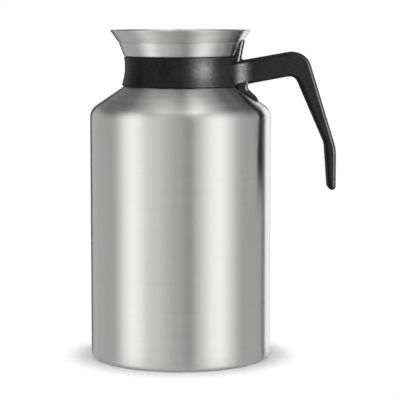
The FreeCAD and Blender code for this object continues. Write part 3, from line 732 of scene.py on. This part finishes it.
class CARAFE_OT_inner_flask(bpy.types.Operator):
    """Model the inner wall round the coffee"""
    bl_idname = "carafe.inner_flask"
    bl_label = "Inner flask"

    def execute(self, context):
        size = context.scene.carafe_flask
        neck = size.mouth_radius + size.inner_wall
        neck_base = size.inner_shoulder + (size.inner_radius - neck) * math.tan(size.shoulder_angle)
        floor_rounding = 9 * MM
        shoulder_rounding = 8 * MM
        neck_fillet = 3 * MM
        flask = spun("flask_lining", [
            (0, size.inner_floor, 0),
            (size.inner_radius, size.inner_floor, floor_rounding),
            (size.inner_radius, size.inner_shoulder, shoulder_rounding),
            (neck, neck_base, neck_fillet),
            (neck, size.neck_top, 0)], size.steps // 2, closed=False)
        thicken(flask, size.inner_wall)
        settle(flask, finish("satin_steel_finish"), "flask", "satin_steel", "inner_flask")
        return {"FINISHED"}


class CARAFE_OT_base_plate(bpy.types.Operator):
    """Model the recessed base plate with its dimple"""
    bl_idname = "carafe.base_plate"
    bl_label = "Base plate"

    def execute(self, context):
        size = context.scene.carafe_flask
        wall = 0.8 * MM
        bend = 1.6 * MM
        outer_bend = 2.4 * MM
        hole = 1.25 * MM
        edge = foot_edge() - wall
        dimple = size.base_recess + size.dimple_depth
        dimple_floor = size.base_dimple - 2 * MM
        plate = spun("foot_plate", [
            (hole, dimple, 0),
            (dimple_floor, dimple, bend),
            (size.base_dimple, size.base_recess, bend),
            (edge, size.base_recess, bend),
            (edge, size.flange_rounding, 0),
            (edge + wall, size.flange_rounding, 0),
            (edge + wall, size.base_recess + wall, outer_bend),
            (size.base_dimple + wall / 2, size.base_recess + wall, bend),
            (dimple_floor + wall / 2, dimple + wall, bend),
            (hole, dimple + wall, 0)], size.steps // 2)
        settle(plate, finish("satin_steel_finish"), "flask", "satin_steel", "base_plate")
        return {"FINISHED"}


def arm_root():
    """Where the blend between collar and arm starts, ends and turns, seen from above."""
    size = bpy.context.scene.carafe_handle
    waist = rounded((size.bottom_radius, shoulder_z(size.bottom_radius)),
                    (size.waist_radius, size.waist_height, size.waist_sweep),
                    (size.top_radius, size.collar_top))
    waist_radius = waist[1].x - size.waist_sweep
    centre_y = size.depth / 2 + size.root_blend
    centre_x = math.sqrt((waist_radius + size.root_blend) ** 2 - centre_y ** 2)
    return centre_x * waist_radius / (waist_radius + size.root_blend), centre_x, centre_y


def arm_top(x):
    """Height of the arm's upper side."""
    size = bpy.context.scene.carafe_handle
    return size.elbow[1] - (size.elbow[0] - x) * math.tan(size.top_angle)


def arm_under(x):
    """Height of the arm's lower side."""
    size = bpy.context.scene.carafe_handle
    return size.inner_elbow[1] - (size.inner_elbow[0] - x) * math.tan(size.under_angle)


def handle_arm():
    """Arm, elbow and grip: an outline extruded, flared at the root and rounded."""
    size = bpy.context.scene.carafe_handle
    start_x, centre_x, centre_y = arm_root()
    outline = [(start_x, arm_top(start_x), 0),
               (*size.elbow, size.elbow_rounding),
               (*size.knee, size.knee_rounding),
               (size.knee[0], size.end_height, size.end_rounding),
               (size.knee[0] - size.end_width, size.end_height, size.end_rounding),
               (*size.inner_knee, size.inner_knee_rounding),
               (*size.inner_elbow, size.inner_elbow_rounding),
               (start_x, arm_under(start_x), 0)]
    half = size.depth / 2
    arm = slab("handle_arm", outline, size.depth)
    flare_steps = 14
    cuts = [start_x + (centre_x - start_x) * step / flare_steps for step in range(flare_steps + 1)]
    edit(arm)
    for x in cuts[1:]:
        bpy.ops.mesh.select_all(action="SELECT")
        bpy.ops.mesh.bisect(plane_co=X_AXIS * x, plane_no=X_AXIS, threshold=MERGE_DISTANCE)
    for x in cuts[:-1]:
        width = centre_y - math.sqrt(size.root_blend ** 2 - (centre_x - x) ** 2)
        bpy.ops.mesh.select_all(action="DESELECT")
        mesh = bmesh.from_edit_mesh(arm.data)
        for vert in mesh.verts:
            vert.select_set(abs(vert.co.x - x) < PLANE_DISTANCE)
        bmesh.update_edit_mesh(arm.data)
        bpy.ops.transform.resize(value=(1, width / half, 1), center_override=(0, 0, 0))
    leave_edit()
    near_root = start_x + PLANE_DISTANCE

    def outline_edge(edge):
        """True where the arm's side meets its outline."""
        out = all(abs(vert.co.y) > half - PLANE_DISTANCE for vert in edge.verts)
        return out and sharp(edge, degrees=50) and max(vert.co.x for vert in edge.verts) > near_root

    return bevel_edges(arm, outline_edge, size.edge, segments=5)


def collar():
    """Collar ring, left too thick inside so that the bore can be cut through it and the arm."""
    size = bpy.context.scene.carafe_handle
    inside = size.bore - CUT_ALLOWANCE
    return spun("handle_collar", [
        (size.bottom_radius, shoulder_z(size.bottom_radius, size.seat_gap), size.collar_edge),
        (size.waist_radius, size.waist_height, size.waist_sweep),
        (size.top_radius, size.collar_top, size.collar_edge),
        (inside, size.collar_top, 0),
        (inside, shoulder_z(inside, size.seat_gap), 0)], bpy.context.scene.carafe_flask.steps)


def screw_places():
    """Places (x, z) of the three handle screws: arm root, elbow and grip."""
    size = bpy.context.scene.carafe_handle
    root_x = size.bottom_radius + 8.95 * MM
    grip_share = 0.6
    elbow, inner_elbow = Vector(size.elbow), Vector(size.inner_elbow)
    outer_grip = elbow.lerp(Vector(size.knee), grip_share)
    inner_grip = inner_elbow.lerp(Vector(size.inner_knee), grip_share)
    return [Vector((root_x, (arm_top(root_x) + arm_under(root_x)) / 2)), (elbow + inner_elbow) / 2,
            (outer_grip + inner_grip) / 2]


# Place (x, z) of the screw that closes the collar, radius of its head and distance of its seat from the seam.
COLLAR_SCREW = Vector((-39.22 * MM, 200.1 * MM))
COLLAR_HEAD = 2 * MM
COLLAR_SEAT = 7 * MM
# Faces round the screws' seats.
SEAT_SIDES = 48
COLLAR_SEAT_SIDES = 36


class CARAFE_OT_handle(bpy.types.Operator):
    """Model the collar with arm and grip, and part it into its two moulded halves"""
    bl_idname = "carafe.handle"
    bl_label = "Handle halves"

    def execute(self, context):
        size = context.scene.carafe_handle
        steps = context.scene.carafe_flask.steps
        handle = combine(collar(), handle_arm(), "UNION")
        bore = spun("bore_cutter", upright(inner=10 * MM, outer=size.bore, bottom=0.18, top=0.23), steps)
        combine(handle, bore, "DIFFERENCE")
        pick(handle)
        bpy.ops.object.duplicate()
        rear = bpy.context.object
        keep_side(handle, Y_AXIS * -size.seam, Y_AXIS)
        keep_side(rear, Y_AXIS * size.seam, -Y_AXIS)
        head_room = 0.2 * MM
        seat_length = 20 * MM
        seats = [(where, size.screw_head, size.screw_seat, SEAT_SIDES) for where in screw_places()]
        seats.append((COLLAR_SCREW, COLLAR_HEAD, COLLAR_SEAT, COLLAR_SEAT_SIDES))
        for where, head, seat, sides in seats:
            middle = (where.x, seat + seat_length / 2, where.y)
            combine(rear, rod("seat_cutter", head + head_room, middle, seat_length, sides), "DIFFERENCE")
        plastic = finish("grained_plastic_finish")
        settle(named(handle, "handle_front"), plastic, "flask", "grained_plastic", "handle_front_half")
        settle(named(rear, "handle_rear"), plastic, "flask", "grained_plastic", "handle_rear_half")
        return {"FINISHED"}


# Room round the saddle, and how deep its tongues are let into the arm.
SADDLE_GAP = 0.25 * MM
LET_IN = 1.5 * MM
# Distances of the lower tongue's root and foot from the axis.
LOWER_ROOT = 47 * MM
LOWER_FOOT = LOWER_ROOT + 1.6 * MM
# Turns in degrees of the cuts that round a corner.
CORNER_TURNS = (12, 24, 36, 48, 62, 76)


def round_corner(obj, corner, outward, side, radius):
    """Rounds a tongue's corner with cuts that turn from its flank to its outer side."""
    flank = Y_AXIS * side
    middle = Vector(corner) - outward * radius - flank * radius
    for degrees in CORNER_TURNS:
        turn = math.radians(degrees)
        normal = outward * math.sin(turn) + flank * math.cos(turn)
        keep_side(obj, middle + normal * radius, normal)


def upper_tongue(seat):
    """Tongue on the funnel: a part-turned section, trimmed at both flanks and rounded at their corners."""
    size = bpy.context.scene.carafe_handle
    flask = bpy.context.scene.carafe_flask
    half = size.tongue_width / 2
    span = math.radians(40)
    foot_rounding = 2 * MM
    inner = size.top_radius + SADDLE_GAP
    outer = inner + 3.4 * MM
    foot = outer + 2.6 * MM
    tip = (45.55 * MM, 228.8 * MM)
    tip_outer = tip[0] + 0.9 * MM
    tongue = spun("saddle_tongues", [
        (inner, seat, 0),
        (foot, seat, 0),
        (foot, arm_top(foot), 0),
        (outer, arm_top(outer), foot_rounding),
        (outer, flask.neck_top, 0),
        (tip_outer, tip[1], 0),
        (*tip, 0),
        (flask.crease_radius + SADDLE_GAP, flask.neck_top + flask.crease_rise - SADDLE_GAP / 2, 0),
        (inner, flask.neck_top, 0)], steps=24, span=span)
    close_ends(tongue, span)
    lean = Vector((tip_outer - outer, 0, tip[1] - flask.neck_top)).normalized()
    outward = Vector((lean.z, 0, -lean.x))
    for side in (1, -1):
        keep_side(tongue, (0, side * half, 0), Y_AXIS * side)
        round_corner(tongue, (outer, side * half, flask.neck_top), outward, side, size.tongue_corner)
    return tongue


def lower_tongue(seat):
    """Tongue on the shoulder: a block with rounded ridges, cut to the shoulder and the collar."""
    size = bpy.context.scene.carafe_handle
    flask = bpy.context.scene.carafe_flask
    half = size.tongue_width / 2
    base = size.bottom_radius + SADDLE_GAP
    reach = 55.3 * MM
    end_lean = 0.6 * MM
    end_height = 1.2 * MM
    root_height = 3.6 * MM
    root_rounding = 4 * MM
    tongue = slab("lower_tongue", [
        (base - CUT_ALLOWANCE, shoulder_z(base), 0),
        (reach, shoulder_z(reach) - CUT_ALLOWANCE, 0),
        (reach + end_lean, shoulder_z(reach, SADDLE_GAP) + end_height, 0),
        (LOWER_ROOT, shoulder_z(LOWER_ROOT, SADDLE_GAP) + root_height, root_rounding),
        (LOWER_FOOT, arm_under(LOWER_FOOT), 0),
        (LOWER_FOOT, seat, 0),
        (base - CUT_ALLOWANCE, seat, 0)], size.tongue_width)
    most_sideways = 0.5
    least_outward = 0.1

    def ridge(edge):
        """True for an edge between the tongue's flank and its outer side."""
        flank = all(abs(vert.co.y) > half - PLANE_DISTANCE for vert in edge.verts)
        outer_side = any(abs(face.normal.y) < most_sideways and face.normal.x > least_outward
                         for face in edge.link_faces)
        return flank and outer_side and min(vert.co.z for vert in edge.verts) > shoulder_z(reach)

    bevel_edges(tongue, ridge, size.tongue_ridge, segments=6, clamp=False)
    under = shoulder_z(flask.body_radius)
    shoulder = spun("shoulder_cutter", [
        (base / 2, under, 0),
        (flask.body_radius, under, 0),
        (flask.body_radius, shoulder_z(flask.body_radius, SADDLE_GAP), 0),
        (base, shoulder_z(base, SADDLE_GAP), 0),
        (base, flask.neck_top, 0),
        (base / 2, flask.neck_top, 0)], flask.steps)
    return combine(tongue, shoulder, "DIFFERENCE")


class CARAFE_OT_saddle(bpy.types.Operator):
    """Model the polished saddle with its tongues on the funnel and on the shoulder"""
    bl_idname = "carafe.saddle"
    bl_label = "Handle saddle"

    def execute(self, context):
        size = context.scene.carafe_handle
        upper_seat = arm_top(size.top_radius + SADDLE_GAP) - LET_IN
        lower_seat = arm_under(LOWER_FOOT) + LET_IN
        base = size.bottom_radius + SADDLE_GAP
        web_wall = 2.4 * MM
        web_overlap = 0.8 * MM
        saddle = upper_tongue(upper_seat)
        lower = lower_tongue(lower_seat)
        web = slab("saddle_web", upright(base, base + web_wall, lower_seat - web_overlap,
                                         upper_seat + web_overlap), depth=10 * MM)
        combine(saddle, lower, "UNION")
        combine(saddle, web, "UNION")
        settle(saddle, finish("polished_plastic_finish"), "flask", "polished_plastic", "handle_saddle")
        return {"FINISHED"}


def close_ends(obj, span):
    """Turns a part-spun piece so that the handle's plane is its middle, and closes its two ends."""
    edit(obj)
    bpy.ops.transform.rotate(value=-span / 2, orient_axis="Z", center_override=(0, 0, 0))
    bpy.ops.mesh.select_mode(type="EDGE")
    bpy.ops.mesh.select_all(action="DESELECT")
    bpy.ops.mesh.select_non_manifold()
    bpy.ops.mesh.fill_holes(sides=0)
    tidy_mesh()
    leave_edit()


def screw(name, where, radius, head_radius, head_height, tip, seat):
    """Screw along Y with a domed, cross-slotted head towards the rear."""
    head_top = seat + head_height
    edge = 0.1 * MM
    dome = head_height * 0.3
    dome_rounding = dome * 0.9
    crown_radius = head_radius * 0.5
    point_radius = radius * 0.7
    point_length = radius * 0.4
    slot_size = (head_radius * 1.35, head_radius * 0.28, head_height * 0.9)
    solid = spun(name, [
        (0, tip, 0),
        (point_radius, tip, 0),
        (radius, tip + point_length, 0),
        (radius, seat, 0),
        (head_radius, seat, edge),
        (head_radius, head_top - dome, dome_rounding),
        (crown_radius, head_top, 0),
        (0, head_top, 0)], steps=48, closed=False)
    for turn in (0, math.pi / 2):
        deselect()
        bpy.ops.mesh.primitive_cube_add(size=1, location=(0, 0, head_top), rotation=(0, 0, turn))
        slot = bpy.context.object
        slot.scale = slot_size
        bpy.ops.object.transform_apply(location=True, rotation=True, scale=True)
        combine(solid, slot, "DIFFERENCE")
    edit(solid)
    bpy.ops.transform.rotate(value=math.pi / 2, orient_axis="X", center_override=(0, 0, 0))
    bpy.ops.transform.translate(value=in_section(where))
    leave_edit()
    return solid


class CARAFE_OT_screws(bpy.types.Operator):
    """Model the handle's screws and the screw that closes the collar"""
    bl_idname = "carafe.screws"
    bl_label = "Screws"

    def execute(self, context):
        size = context.scene.carafe_handle
        zinc = finish("screw_finish")
        places = screw_places()
        first = screw("handle_screw_1", places[0], radius=1.5 * MM, head_radius=size.screw_head,
                      head_height=2 * MM, tip=-6 * MM, seat=size.screw_seat)
        for number, where in enumerate(places[1:], 2):
            pick(first)
            bpy.ops.object.duplicate()
            copy = named(bpy.context.object, "handle_screw_%d" % number)
            edit(copy)
            bpy.ops.transform.translate(value=in_section(where - places[0]))
            leave_edit()
            settle(copy, zinc, "flask", "screw_steel", "handle_screws")
        settle(first, zinc, "flask", "screw_steel", "handle_screws")
        closing = screw("collar_closing_screw", COLLAR_SCREW, radius=1.1 * MM, head_radius=COLLAR_HEAD,
                        head_height=1.5 * MM, tip=-5 * MM, seat=COLLAR_SEAT)
        settle(closing, zinc, "flask", "screw_steel", "collar_screw")
        return {"FINISHED"}


class CARAFE_OT_stopper(bpy.types.Operator):
    """Model the stopper with its flange, dish, skirt and pouring slot"""
    bl_idname = "carafe.stopper"
    bl_label = "Stopper"

    def execute(self, context):
        size = context.scene.carafe_lid
        groove_low = size.skirt_bottom + 4 * MM
        groove_high = groove_low + 5 * MM
        groove_edge = 0.2 * MM
        hub_edge = 0.3 * MM
        under_rounding = 1 * MM
        skirt_inner_edge = 0.6 * MM
        skirt_edge = 0.8 * MM
        flange_under_edge = 0.4 * MM
        flange_edge = 0.8 * MM
        dish_radius = size.skirt_inner + 2 * MM
        dish_rounding = 1.4 * MM
        slot_spare = 1 * MM
        stopper = spun("stopper_body", [
            (size.hub_radius, size.dish_bottom, hub_edge),
            (size.skirt_inner, size.dish_bottom, under_rounding),
            (size.skirt_inner, size.skirt_bottom, skirt_inner_edge),
            (size.skirt_radius, size.skirt_bottom, skirt_edge),
            (size.skirt_radius, groove_low, groove_edge),
            (size.groove_radius, groove_low, 0),
            (size.groove_radius, groove_high, 0),
            (size.skirt_radius, groove_high, groove_edge),
            (size.skirt_radius, size.ledge, 0),
            (size.flange_radius, size.ledge, flange_under_edge),
            (size.flange_radius, size.flange_top, flange_edge),
            (dish_radius, size.flange_top, dish_rounding),
            (size.skirt_inner, size.dish_top, dish_rounding),
            (size.hub_radius, size.dish_top, hub_edge)], steps=144)
        span = 2 * size.slot_angle
        slot = spun("slot_cutter", upright(size.slot_inner, size.slot_outer, size.dish_bottom - slot_spare,
                                           size.dish_top + slot_spare), steps=36, span=span)
        close_ends(slot, span)
        edit(slot)
        bpy.ops.transform.rotate(value=math.pi, orient_axis="Z", center_override=(0, 0, 0))
        leave_edit()
        combine(stopper, slot, "DIFFERENCE")
        settle(stopper, finish("stopper_finish"), "lid", "lid_plastic", "lid_body")
        return {"FINISHED"}


class CARAFE_OT_seal(bpy.types.Operator):
    """Model the lip seal in the stopper's groove"""
    bl_idname = "carafe.seal"
    bl_label = "Lip seal"

    def execute(self, context):
        size = context.scene.carafe_lid
        bottom, top = low("lid_gasket").z, high("lid_gasket").z
        inner = size.groove_radius + 0.15 * MM
        body = inner + 0.9 * MM
        lip = high("lid_gasket").x
        # Distances of a lip's two edges and of its root from the seal's end.
        near, far, root = 0.4 * MM, 1 * MM, 1.4 * MM
        lip_edge = 0.25 * MM
        root_fillet = 0.2 * MM
        seal = spun("stopper_seal", [
            (inner, bottom, 0),
            (body, bottom, 0),
            (lip, bottom + near, lip_edge),
            (lip, bottom + far, lip_edge),
            (body, bottom + root, root_fillet),
            (body, top - root, root_fillet),
            (lip, top - far, lip_edge),
            (lip, top - near, lip_edge),
            (body, top, 0),
            (inner, top, 0)], steps=144)
        settle(seal, finish("silicone_finish"), "lid_seal", "silicone", "lid_gasket")
        return {"FINISHED"}


class CARAFE_OT_knob(bpy.types.Operator):
    """Model the hollow knob with its spigot"""
    bl_idname = "carafe.knob"
    bl_label = "Knob"

    def execute(self, context):
        size = context.scene.carafe_lid
        waist_share = 0.45
        waist = size.dish_top + (size.knob_top - size.dish_top) * waist_share
        waist_radius = 9.4 * MM
        waist_sweep = 9 * MM
        base_radius = 13 * MM
        base_top = size.dish_top + 2.4 * MM
        lip_bottom = size.knob_top - 3 * MM
        rim_inner = size.knob_radius - 1.8 * MM
        rim_inner_edge = 0.5 * MM
        edge = 1 * MM
        spigot_edge = 0.4 * MM
        funnel_sweep = 8 * MM
        knob = spun("stopper_knob", [
            (size.knob_bore, size.spigot_bottom, 0),
            (size.spigot_radius, size.spigot_bottom, spigot_edge),
            (size.spigot_radius, size.dish_top, 0),
            (base_radius, size.dish_top, 0),
            (base_radius, base_top, edge),
            (waist_radius, waist, waist_sweep),
            (size.knob_radius, lip_bottom, edge),
            (size.knob_radius, size.knob_top, edge),
            (rim_inner, size.knob_top, rim_inner_edge),
            (size.knob_bore, waist, funnel_sweep)], steps=120)
        settle(knob, finish("stopper_finish"), "lid", "lid_plastic", "lid_knob")
        return {"FINISHED"}


class CARAFE_OT_nut(bpy.types.Operator):
    """Model the nut under the stopper's floor"""
    bl_idname = "carafe.nut"
    bl_label = "Knob nut"

    def execute(self, context):
        size = context.scene.carafe_lid
        corner = size.nut_flats / 2 / math.cos(math.pi / 6)
        depth = size.dish_bottom - size.nut_bottom
        middle = (0, 0, size.nut_bottom + depth / 2)
        deselect()
        bpy.ops.mesh.primitive_cylinder_add(vertices=6, radius=corner, depth=depth, location=middle,
                                            rotation=(0, 0, math.pi / 6))
        nut = named(bpy.context.object, "knob_lock_nut")
        bpy.ops.object.transform_apply(location=True, rotation=True, scale=True)
        bevel_edges(nut, lambda edge: True, width=0.5 * MM)
        deselect()
        bpy.ops.mesh.primitive_cylinder_add(vertices=72, radius=size.tube_bore, depth=3 * depth,
                                            location=middle)
        combine(nut, bpy.context.object, "DIFFERENCE")
        settle(nut, finish("stopper_finish"), "lid", "lid_plastic", "knob_nut")
        return {"FINISHED"}


class CARAFE_OT_tube(bpy.types.Operator):
    """Model the mixing tube with its notched lower end"""
    bl_idname = "carafe.tube"
    bl_label = "Mixing tube"

    def execute(self, context):
        size = context.scene.carafe_lid
        edge = 0.25 * MM
        notch_length = 4 * size.tube_radius
        tube = spun("mixing_pipe", [
            (size.tube_bore, size.tube_bottom, edge),
            (size.tube_radius, size.tube_bottom, edge),
            (size.tube_radius, size.nut_bottom, edge),
            (size.tube_bore, size.nut_bottom, edge)], steps=96)
        notch = rod("notch_cutter", size.notch_radius, (0, 0, size.tube_bottom), notch_length)
        combine(tube, notch, "DIFFERENCE")
        settle(tube, finish("tube_finish"), "lid", "tube_plastic", "mixing_tube")
        return {"FINISHED"}


class CARAFE_OT_hidden_parts(bpy.types.Operator):
    """Give the CAD pieces that stay their finishes"""
    bl_idname = "carafe.hidden_parts"
    bl_label = "Hidden parts"

    def execute(self, context):
        for node, name in (("vacuum_plug", "solder_glass_finish"), ("radiation_foil", "foil_finish"),
                           ("getter_cup", "getter_finish"), ("neck_grip_band", "rubber_finish"),
                           ("handle_inserts", "brass_finish"), ("collar_insert", "brass_finish")):
            kept = frame["nodes"][node]
            kept.data.materials.clear()
            kept.data.materials.append(finish(name))
        return {"FINISHED"}


# Panels of the tent's side: middle and half width in degrees from the front, and strength that they add.
PANELS = ((-66, 30, 1.05), (-36, 36, 0.42), (11, 12, -0.2), (49, 38, 1.12))
# Strips of the ceiling from left to right: middle, half width and strength that they add.
CEILING_STRIPS = ((-0.5, 0.45, 0.7), (0.5, 0.45, 2))
# How the ceiling's light falls off outwards: where it is full, how far it reaches, and its share there.
CEILING_ROUND = (0, 2, 1)
# Strength that the ceiling's front adds, and how far before and behind the middle it fades.
CEILING_FRONT = 0.1
CEILING_FADE = 0.4
# First and last direction of the tent's side, in degrees.
TENT_ENDS = (-155, 127)
# Cards behind: name, distance as a share of the tent's, first and last direction, band of heights, strength.
BACK_CARDS = (("flag_left", 1, -164, -155, "whole", 0.02), ("flag_right", 1, 127, 136, "whole", 0.02),
              ("back_upper", 0.97, 100, 260, "upper", 0.2), ("back_right", 0.98, 136, 162, "middle", 1.3),
              ("back_flag", 0.98, 165, 196, "middle", 0.15), ("back_lower", 0.97, 136, 197, "lower", 0.5))
# Half the height of the middle band, as a share of the tent's distance.
BAND_SHARE = 0.42
# Where the floor begins to fade and where it is gone, as shares of its radius.
FLOOR_FADE = (0.7, 0.98)


def ring(name, radius, start, end, bottom, top):
    """Curved card round the object between two directions and two heights, unseen by the camera."""
    span = math.radians(end - start)
    obj = spun(name, [(radius, bottom, 0), (radius, top, 0)], steps=48, closed=False, span=span)
    edit(obj)
    bpy.ops.transform.rotate(value=math.radians(90 - end), orient_axis="Z", center_override=(0, 0, 0))
    leave_edit()
    obj.visible_camera = False
    return obj


def glow(obj, strength, pattern=None):
    """Makes a card glow evenly, or in a pattern on top of its strength."""
    material, tree = new_material(obj.name)
    total = pattern(tree, strength) if pattern else strength
    light = add_node(tree, "ShaderNodeEmission", {"Color": WHITE, "Strength": total})
    show(tree, light.outputs["Emission"])
    obj.data.materials.append(material)


def soft_panel(tree, value, middle, half_width, extra):
    """Light that fades from the middle of a panel to its two edges."""
    aside = reckon(tree, value, middle, "SUBTRACT")
    away = add_node(tree, "ShaderNodeMath", {0: aside}, operation="ABSOLUTE")
    return fade(tree, away.outputs["Value"], 0, half_width, extra, 0)


def tent_panels(tree, strength):
    """Glow of the tent's side, with soft-edged lit panels and one dim one, each by its direction."""
    parts = add_node(tree, "ShaderNodeSeparateXYZ", {"Vector": object_place(tree)})
    front = reckon(tree, parts.outputs["Y"], -1, "MULTIPLY")
    around = reckon(tree, parts.outputs["X"], front, "ARCTAN2")
    total = strength
    for middle, half_width, extra in PANELS:
        panel = soft_panel(tree, around, math.radians(middle), math.radians(half_width), extra)
        total = reckon(tree, total, panel)
    return total


def ceiling_strips(tree, strength):
    """Glow of the ceiling: soft overhead, with two strips that run from front to back, and more in front."""
    here = object_place(tree)
    parts = add_node(tree, "ShaderNodeSeparateXYZ", {"Vector": here})
    total = strength
    for strip in CEILING_STRIPS:
        total = reckon(tree, total, soft_panel(tree, parts.outputs["X"], *strip))
    total = reckon(tree, total, soft_panel(tree, axis_distance(tree, here), *CEILING_ROUND), "MULTIPLY")
    front = fade(tree, parts.outputs["Y"], -CEILING_FADE, CEILING_FADE, CEILING_FRONT, 0)
    return reckon(tree, total, front)


def lid_card(name, height, radius):
    """Round card that closes the tent above or below."""
    deselect()
    bpy.ops.mesh.primitive_circle_add(vertices=64, radius=radius, fill_type="NGON", location=(0, 0, height))
    obj = named(bpy.context.object, name)
    bpy.ops.object.transform_apply(location=True, rotation=True, scale=True)
    obj.visible_camera = False
    return obj


def seen_rays(tree):
    """1 for camera, glossy and transmission rays, and 0 for the rest."""
    path = add_node(tree, "ShaderNodeLightPath")
    seen = reckon(tree, path.outputs["Is Camera Ray"], path.outputs["Is Glossy Ray"], "MAXIMUM")
    return reckon(tree, seen, path.outputs["Is Transmission Ray"], "MAXIMUM")


def floor_material(tone, radius, lift):
    """Pale floor that keeps shadows and fades into the white backdrop."""
    material, tree = new_material("stage_floor")
    here = object_place(tree)
    away = add_node(tree, "ShaderNodeVectorMath", {0: here}, operation="LENGTH").outputs["Value"]
    start, end = (radius * part for part in FLOOR_FADE)
    mottle = noise(tree, here, scale=25, detail=3)
    shade = tinted(tree, mottle, tone, lowest=0.99, highest=1.01)
    matt = add_node(tree, "ShaderNodeBsdfDiffuse", {"Color": shade}).outputs["BSDF"]
    light = add_node(tree, "ShaderNodeEmission", {"Color": WHITE, "Strength": lift})
    bright = add_node(tree, "ShaderNodeAddShader", {0: matt, 1: light.outputs["Emission"]})
    shown = add_node(tree, "ShaderNodeMixShader", {0: seen_rays(tree), 1: matt, 2: bright.outputs["Shader"]})
    clear = add_node(tree, "ShaderNodeBsdfTransparent")
    faded = add_node(tree, "ShaderNodeMixShader", {
        0: fade(tree, away, start, end, 0, 1), 1: shown.outputs["Shader"], 2: clear.outputs["BSDF"]})
    show(tree, faded.outputs["Shader"])
    return material


def white_world(level):
    """White backdrop for the camera, gloss and glass, and an even room light for all else."""
    world = bpy.data.worlds.new("studio")
    bpy.context.scene.world = world
    world.use_nodes = True
    tree = world.node_tree
    tree.nodes.clear()
    room = add_node(tree, "ShaderNodeBackground", {"Color": WHITE, "Strength": level})
    backdrop = add_node(tree, "ShaderNodeBackground", {"Color": WHITE, "Strength": 1})
    mixed = add_node(tree, "ShaderNodeMixShader", {0: seen_rays(tree), 1: room.outputs["Background"],
                                                   2: backdrop.outputs["Background"]})
    add_node(tree, "ShaderNodeOutputWorld", {"Surface": mixed.outputs["Shader"]})


def handle_lamp(stage):
    """Area lamp that is turned towards the handle, unseen by the camera."""
    across = stage.lamp_distance * math.sin(stage.lamp_direction)
    ahead = stage.lamp_distance * math.cos(stage.lamp_direction)
    where = Vector((across, -ahead, stage.lamp_height))
    turn = (where - Z_AXIS * stage.lamp_aim).to_track_quat("Z", "Y").to_euler()
    bpy.ops.object.light_add(type="AREA", location=where, rotation=turn)
    lamp = bpy.context.object
    lamp.name = "handle_lamp"
    lamp.data.shape = "RECTANGLE"
    lamp.data.size = stage.lamp_width
    lamp.data.size_y = stage.lamp_length
    lamp.data.energy = stage.lamp_power
    lamp.visible_camera = False
    return lamp


def shine_on(light, name, *finishes):
    """Keeps a lamp's or card's light to the pieces of some finishes."""
    lit = bpy.data.collections.new(name)
    for obj in bpy.context.scene.objects:
        if obj.type == "MESH" and obj.data.materials and obj.data.materials[0].name in finishes:
            lit.objects.link(obj)
    light.light_linking.receiver_collection = lit


class CARAFE_OT_stage(bpy.types.Operator):
    """Set up the floor, the light tent, the handle's lamp and the camera"""
    bl_idname = "carafe.stage"
    bl_label = "Stage"

    def execute(self, context):
        scene = context.scene
        stage = scene.carafe_stage
        scene.view_settings.view_transform = "Standard"
        white_world(stage.daylight)
        deselect()
        bpy.ops.mesh.primitive_circle_add(vertices=96, radius=stage.floor_radius, fill_type="NGON")
        floor = named(bpy.context.object, "stage_floor")
        floor.data.materials.append(floor_material(stage.floor, stage.floor_radius, stage.floor_lift))
        far, foot, top = stage.card_radius, -stage.card_low, stage.card_high
        glow(ring("tent_side", far, *TENT_ENDS, foot, top), stage.tent, tent_panels)
        band = far * BAND_SHARE
        bands = {"whole": (foot, top), "upper": (band, top), "middle": (-band, band), "lower": (foot, -band)}
        cards = {}
        for name, distance, start, end, height, level in BACK_CARDS:
            cards[name] = ring(name, far * distance, start, end, *bands[height])
            glow(cards[name], level)
        shine_on(cards["back_right"], "steel_pieces", "brushed_steel_finish")
        glow(lid_card("tent_top", top, far), stage.ceiling, ceiling_strips)
        glow(lid_card("tent_bottom", foot, far), stage.ground)
        shine_on(handle_lamp(stage), "black_pieces", "grained_plastic_finish", "polished_plastic_finish")
        bpy.ops.object.camera_add(location=stage.camera,
                                  rotation=(math.pi / 2 - stage.camera_tilt, 0, -stage.camera_turn))
        camera = bpy.context.object
        camera.name = "camera"
        camera.data.lens = stage.lens
        camera.data.sensor_width = 36
        camera.data.clip_end = 20
        scene.camera = camera
        return {"FINISHED"}


OPERATORS = (CARAFE_OT_outer_shell, CARAFE_OT_pouring_funnel, CARAFE_OT_inner_flask, CARAFE_OT_base_plate,
             CARAFE_OT_handle, CARAFE_OT_saddle, CARAFE_OT_screws, CARAFE_OT_stopper, CARAFE_OT_seal,
             CARAFE_OT_knob, CARAFE_OT_nut, CARAFE_OT_tube, CARAFE_OT_hidden_parts, CARAFE_OT_stage)


class CARAFE_PT_sidebar(bpy.types.Panel):
    """List of the carafe's pieces"""
    bl_idname = "CARAFE_PT_sidebar"
    bl_label = "Thermal carafe"
    bl_space_type = "VIEW_3D"
    bl_region_type = "UI"
    bl_category = "Carafe"

    def draw(self, context):
        for operator in OPERATORS:
            self.layout.operator(operator.bl_idname)
        for name, group in GROUPS.items():
            box = self.layout.box()
            box.label(text=group.__doc__)
            for key in group.__annotations__:
                box.prop(getattr(context.scene, name), key)


def register():
    """Adds the classes and their settings to Blender."""
    for group in (*GROUPS.values(), *OPERATORS, CARAFE_PT_sidebar):
        bpy.utils.register_class(group)
    for name, group in GROUPS.items():
        setattr(bpy.types.Scene, name, PointerProperty(type=group))


def unregister():
    """Takes them away again."""
    for name in GROUPS:
        delattr(bpy.types.Scene, name)
    for group in (CARAFE_PT_sidebar, *reversed(OPERATORS), *reversed(tuple(GROUPS.values()))):
        bpy.utils.unregister_class(group)


def main():
    """Models every piece and sets the stage."""
    register()
    for operator in OPERATORS:
        family, name = operator.bl_idname.split(".")
        getattr(getattr(bpy.ops, family), name)()
    deselect()


if __name__ == "__main__":
    main()
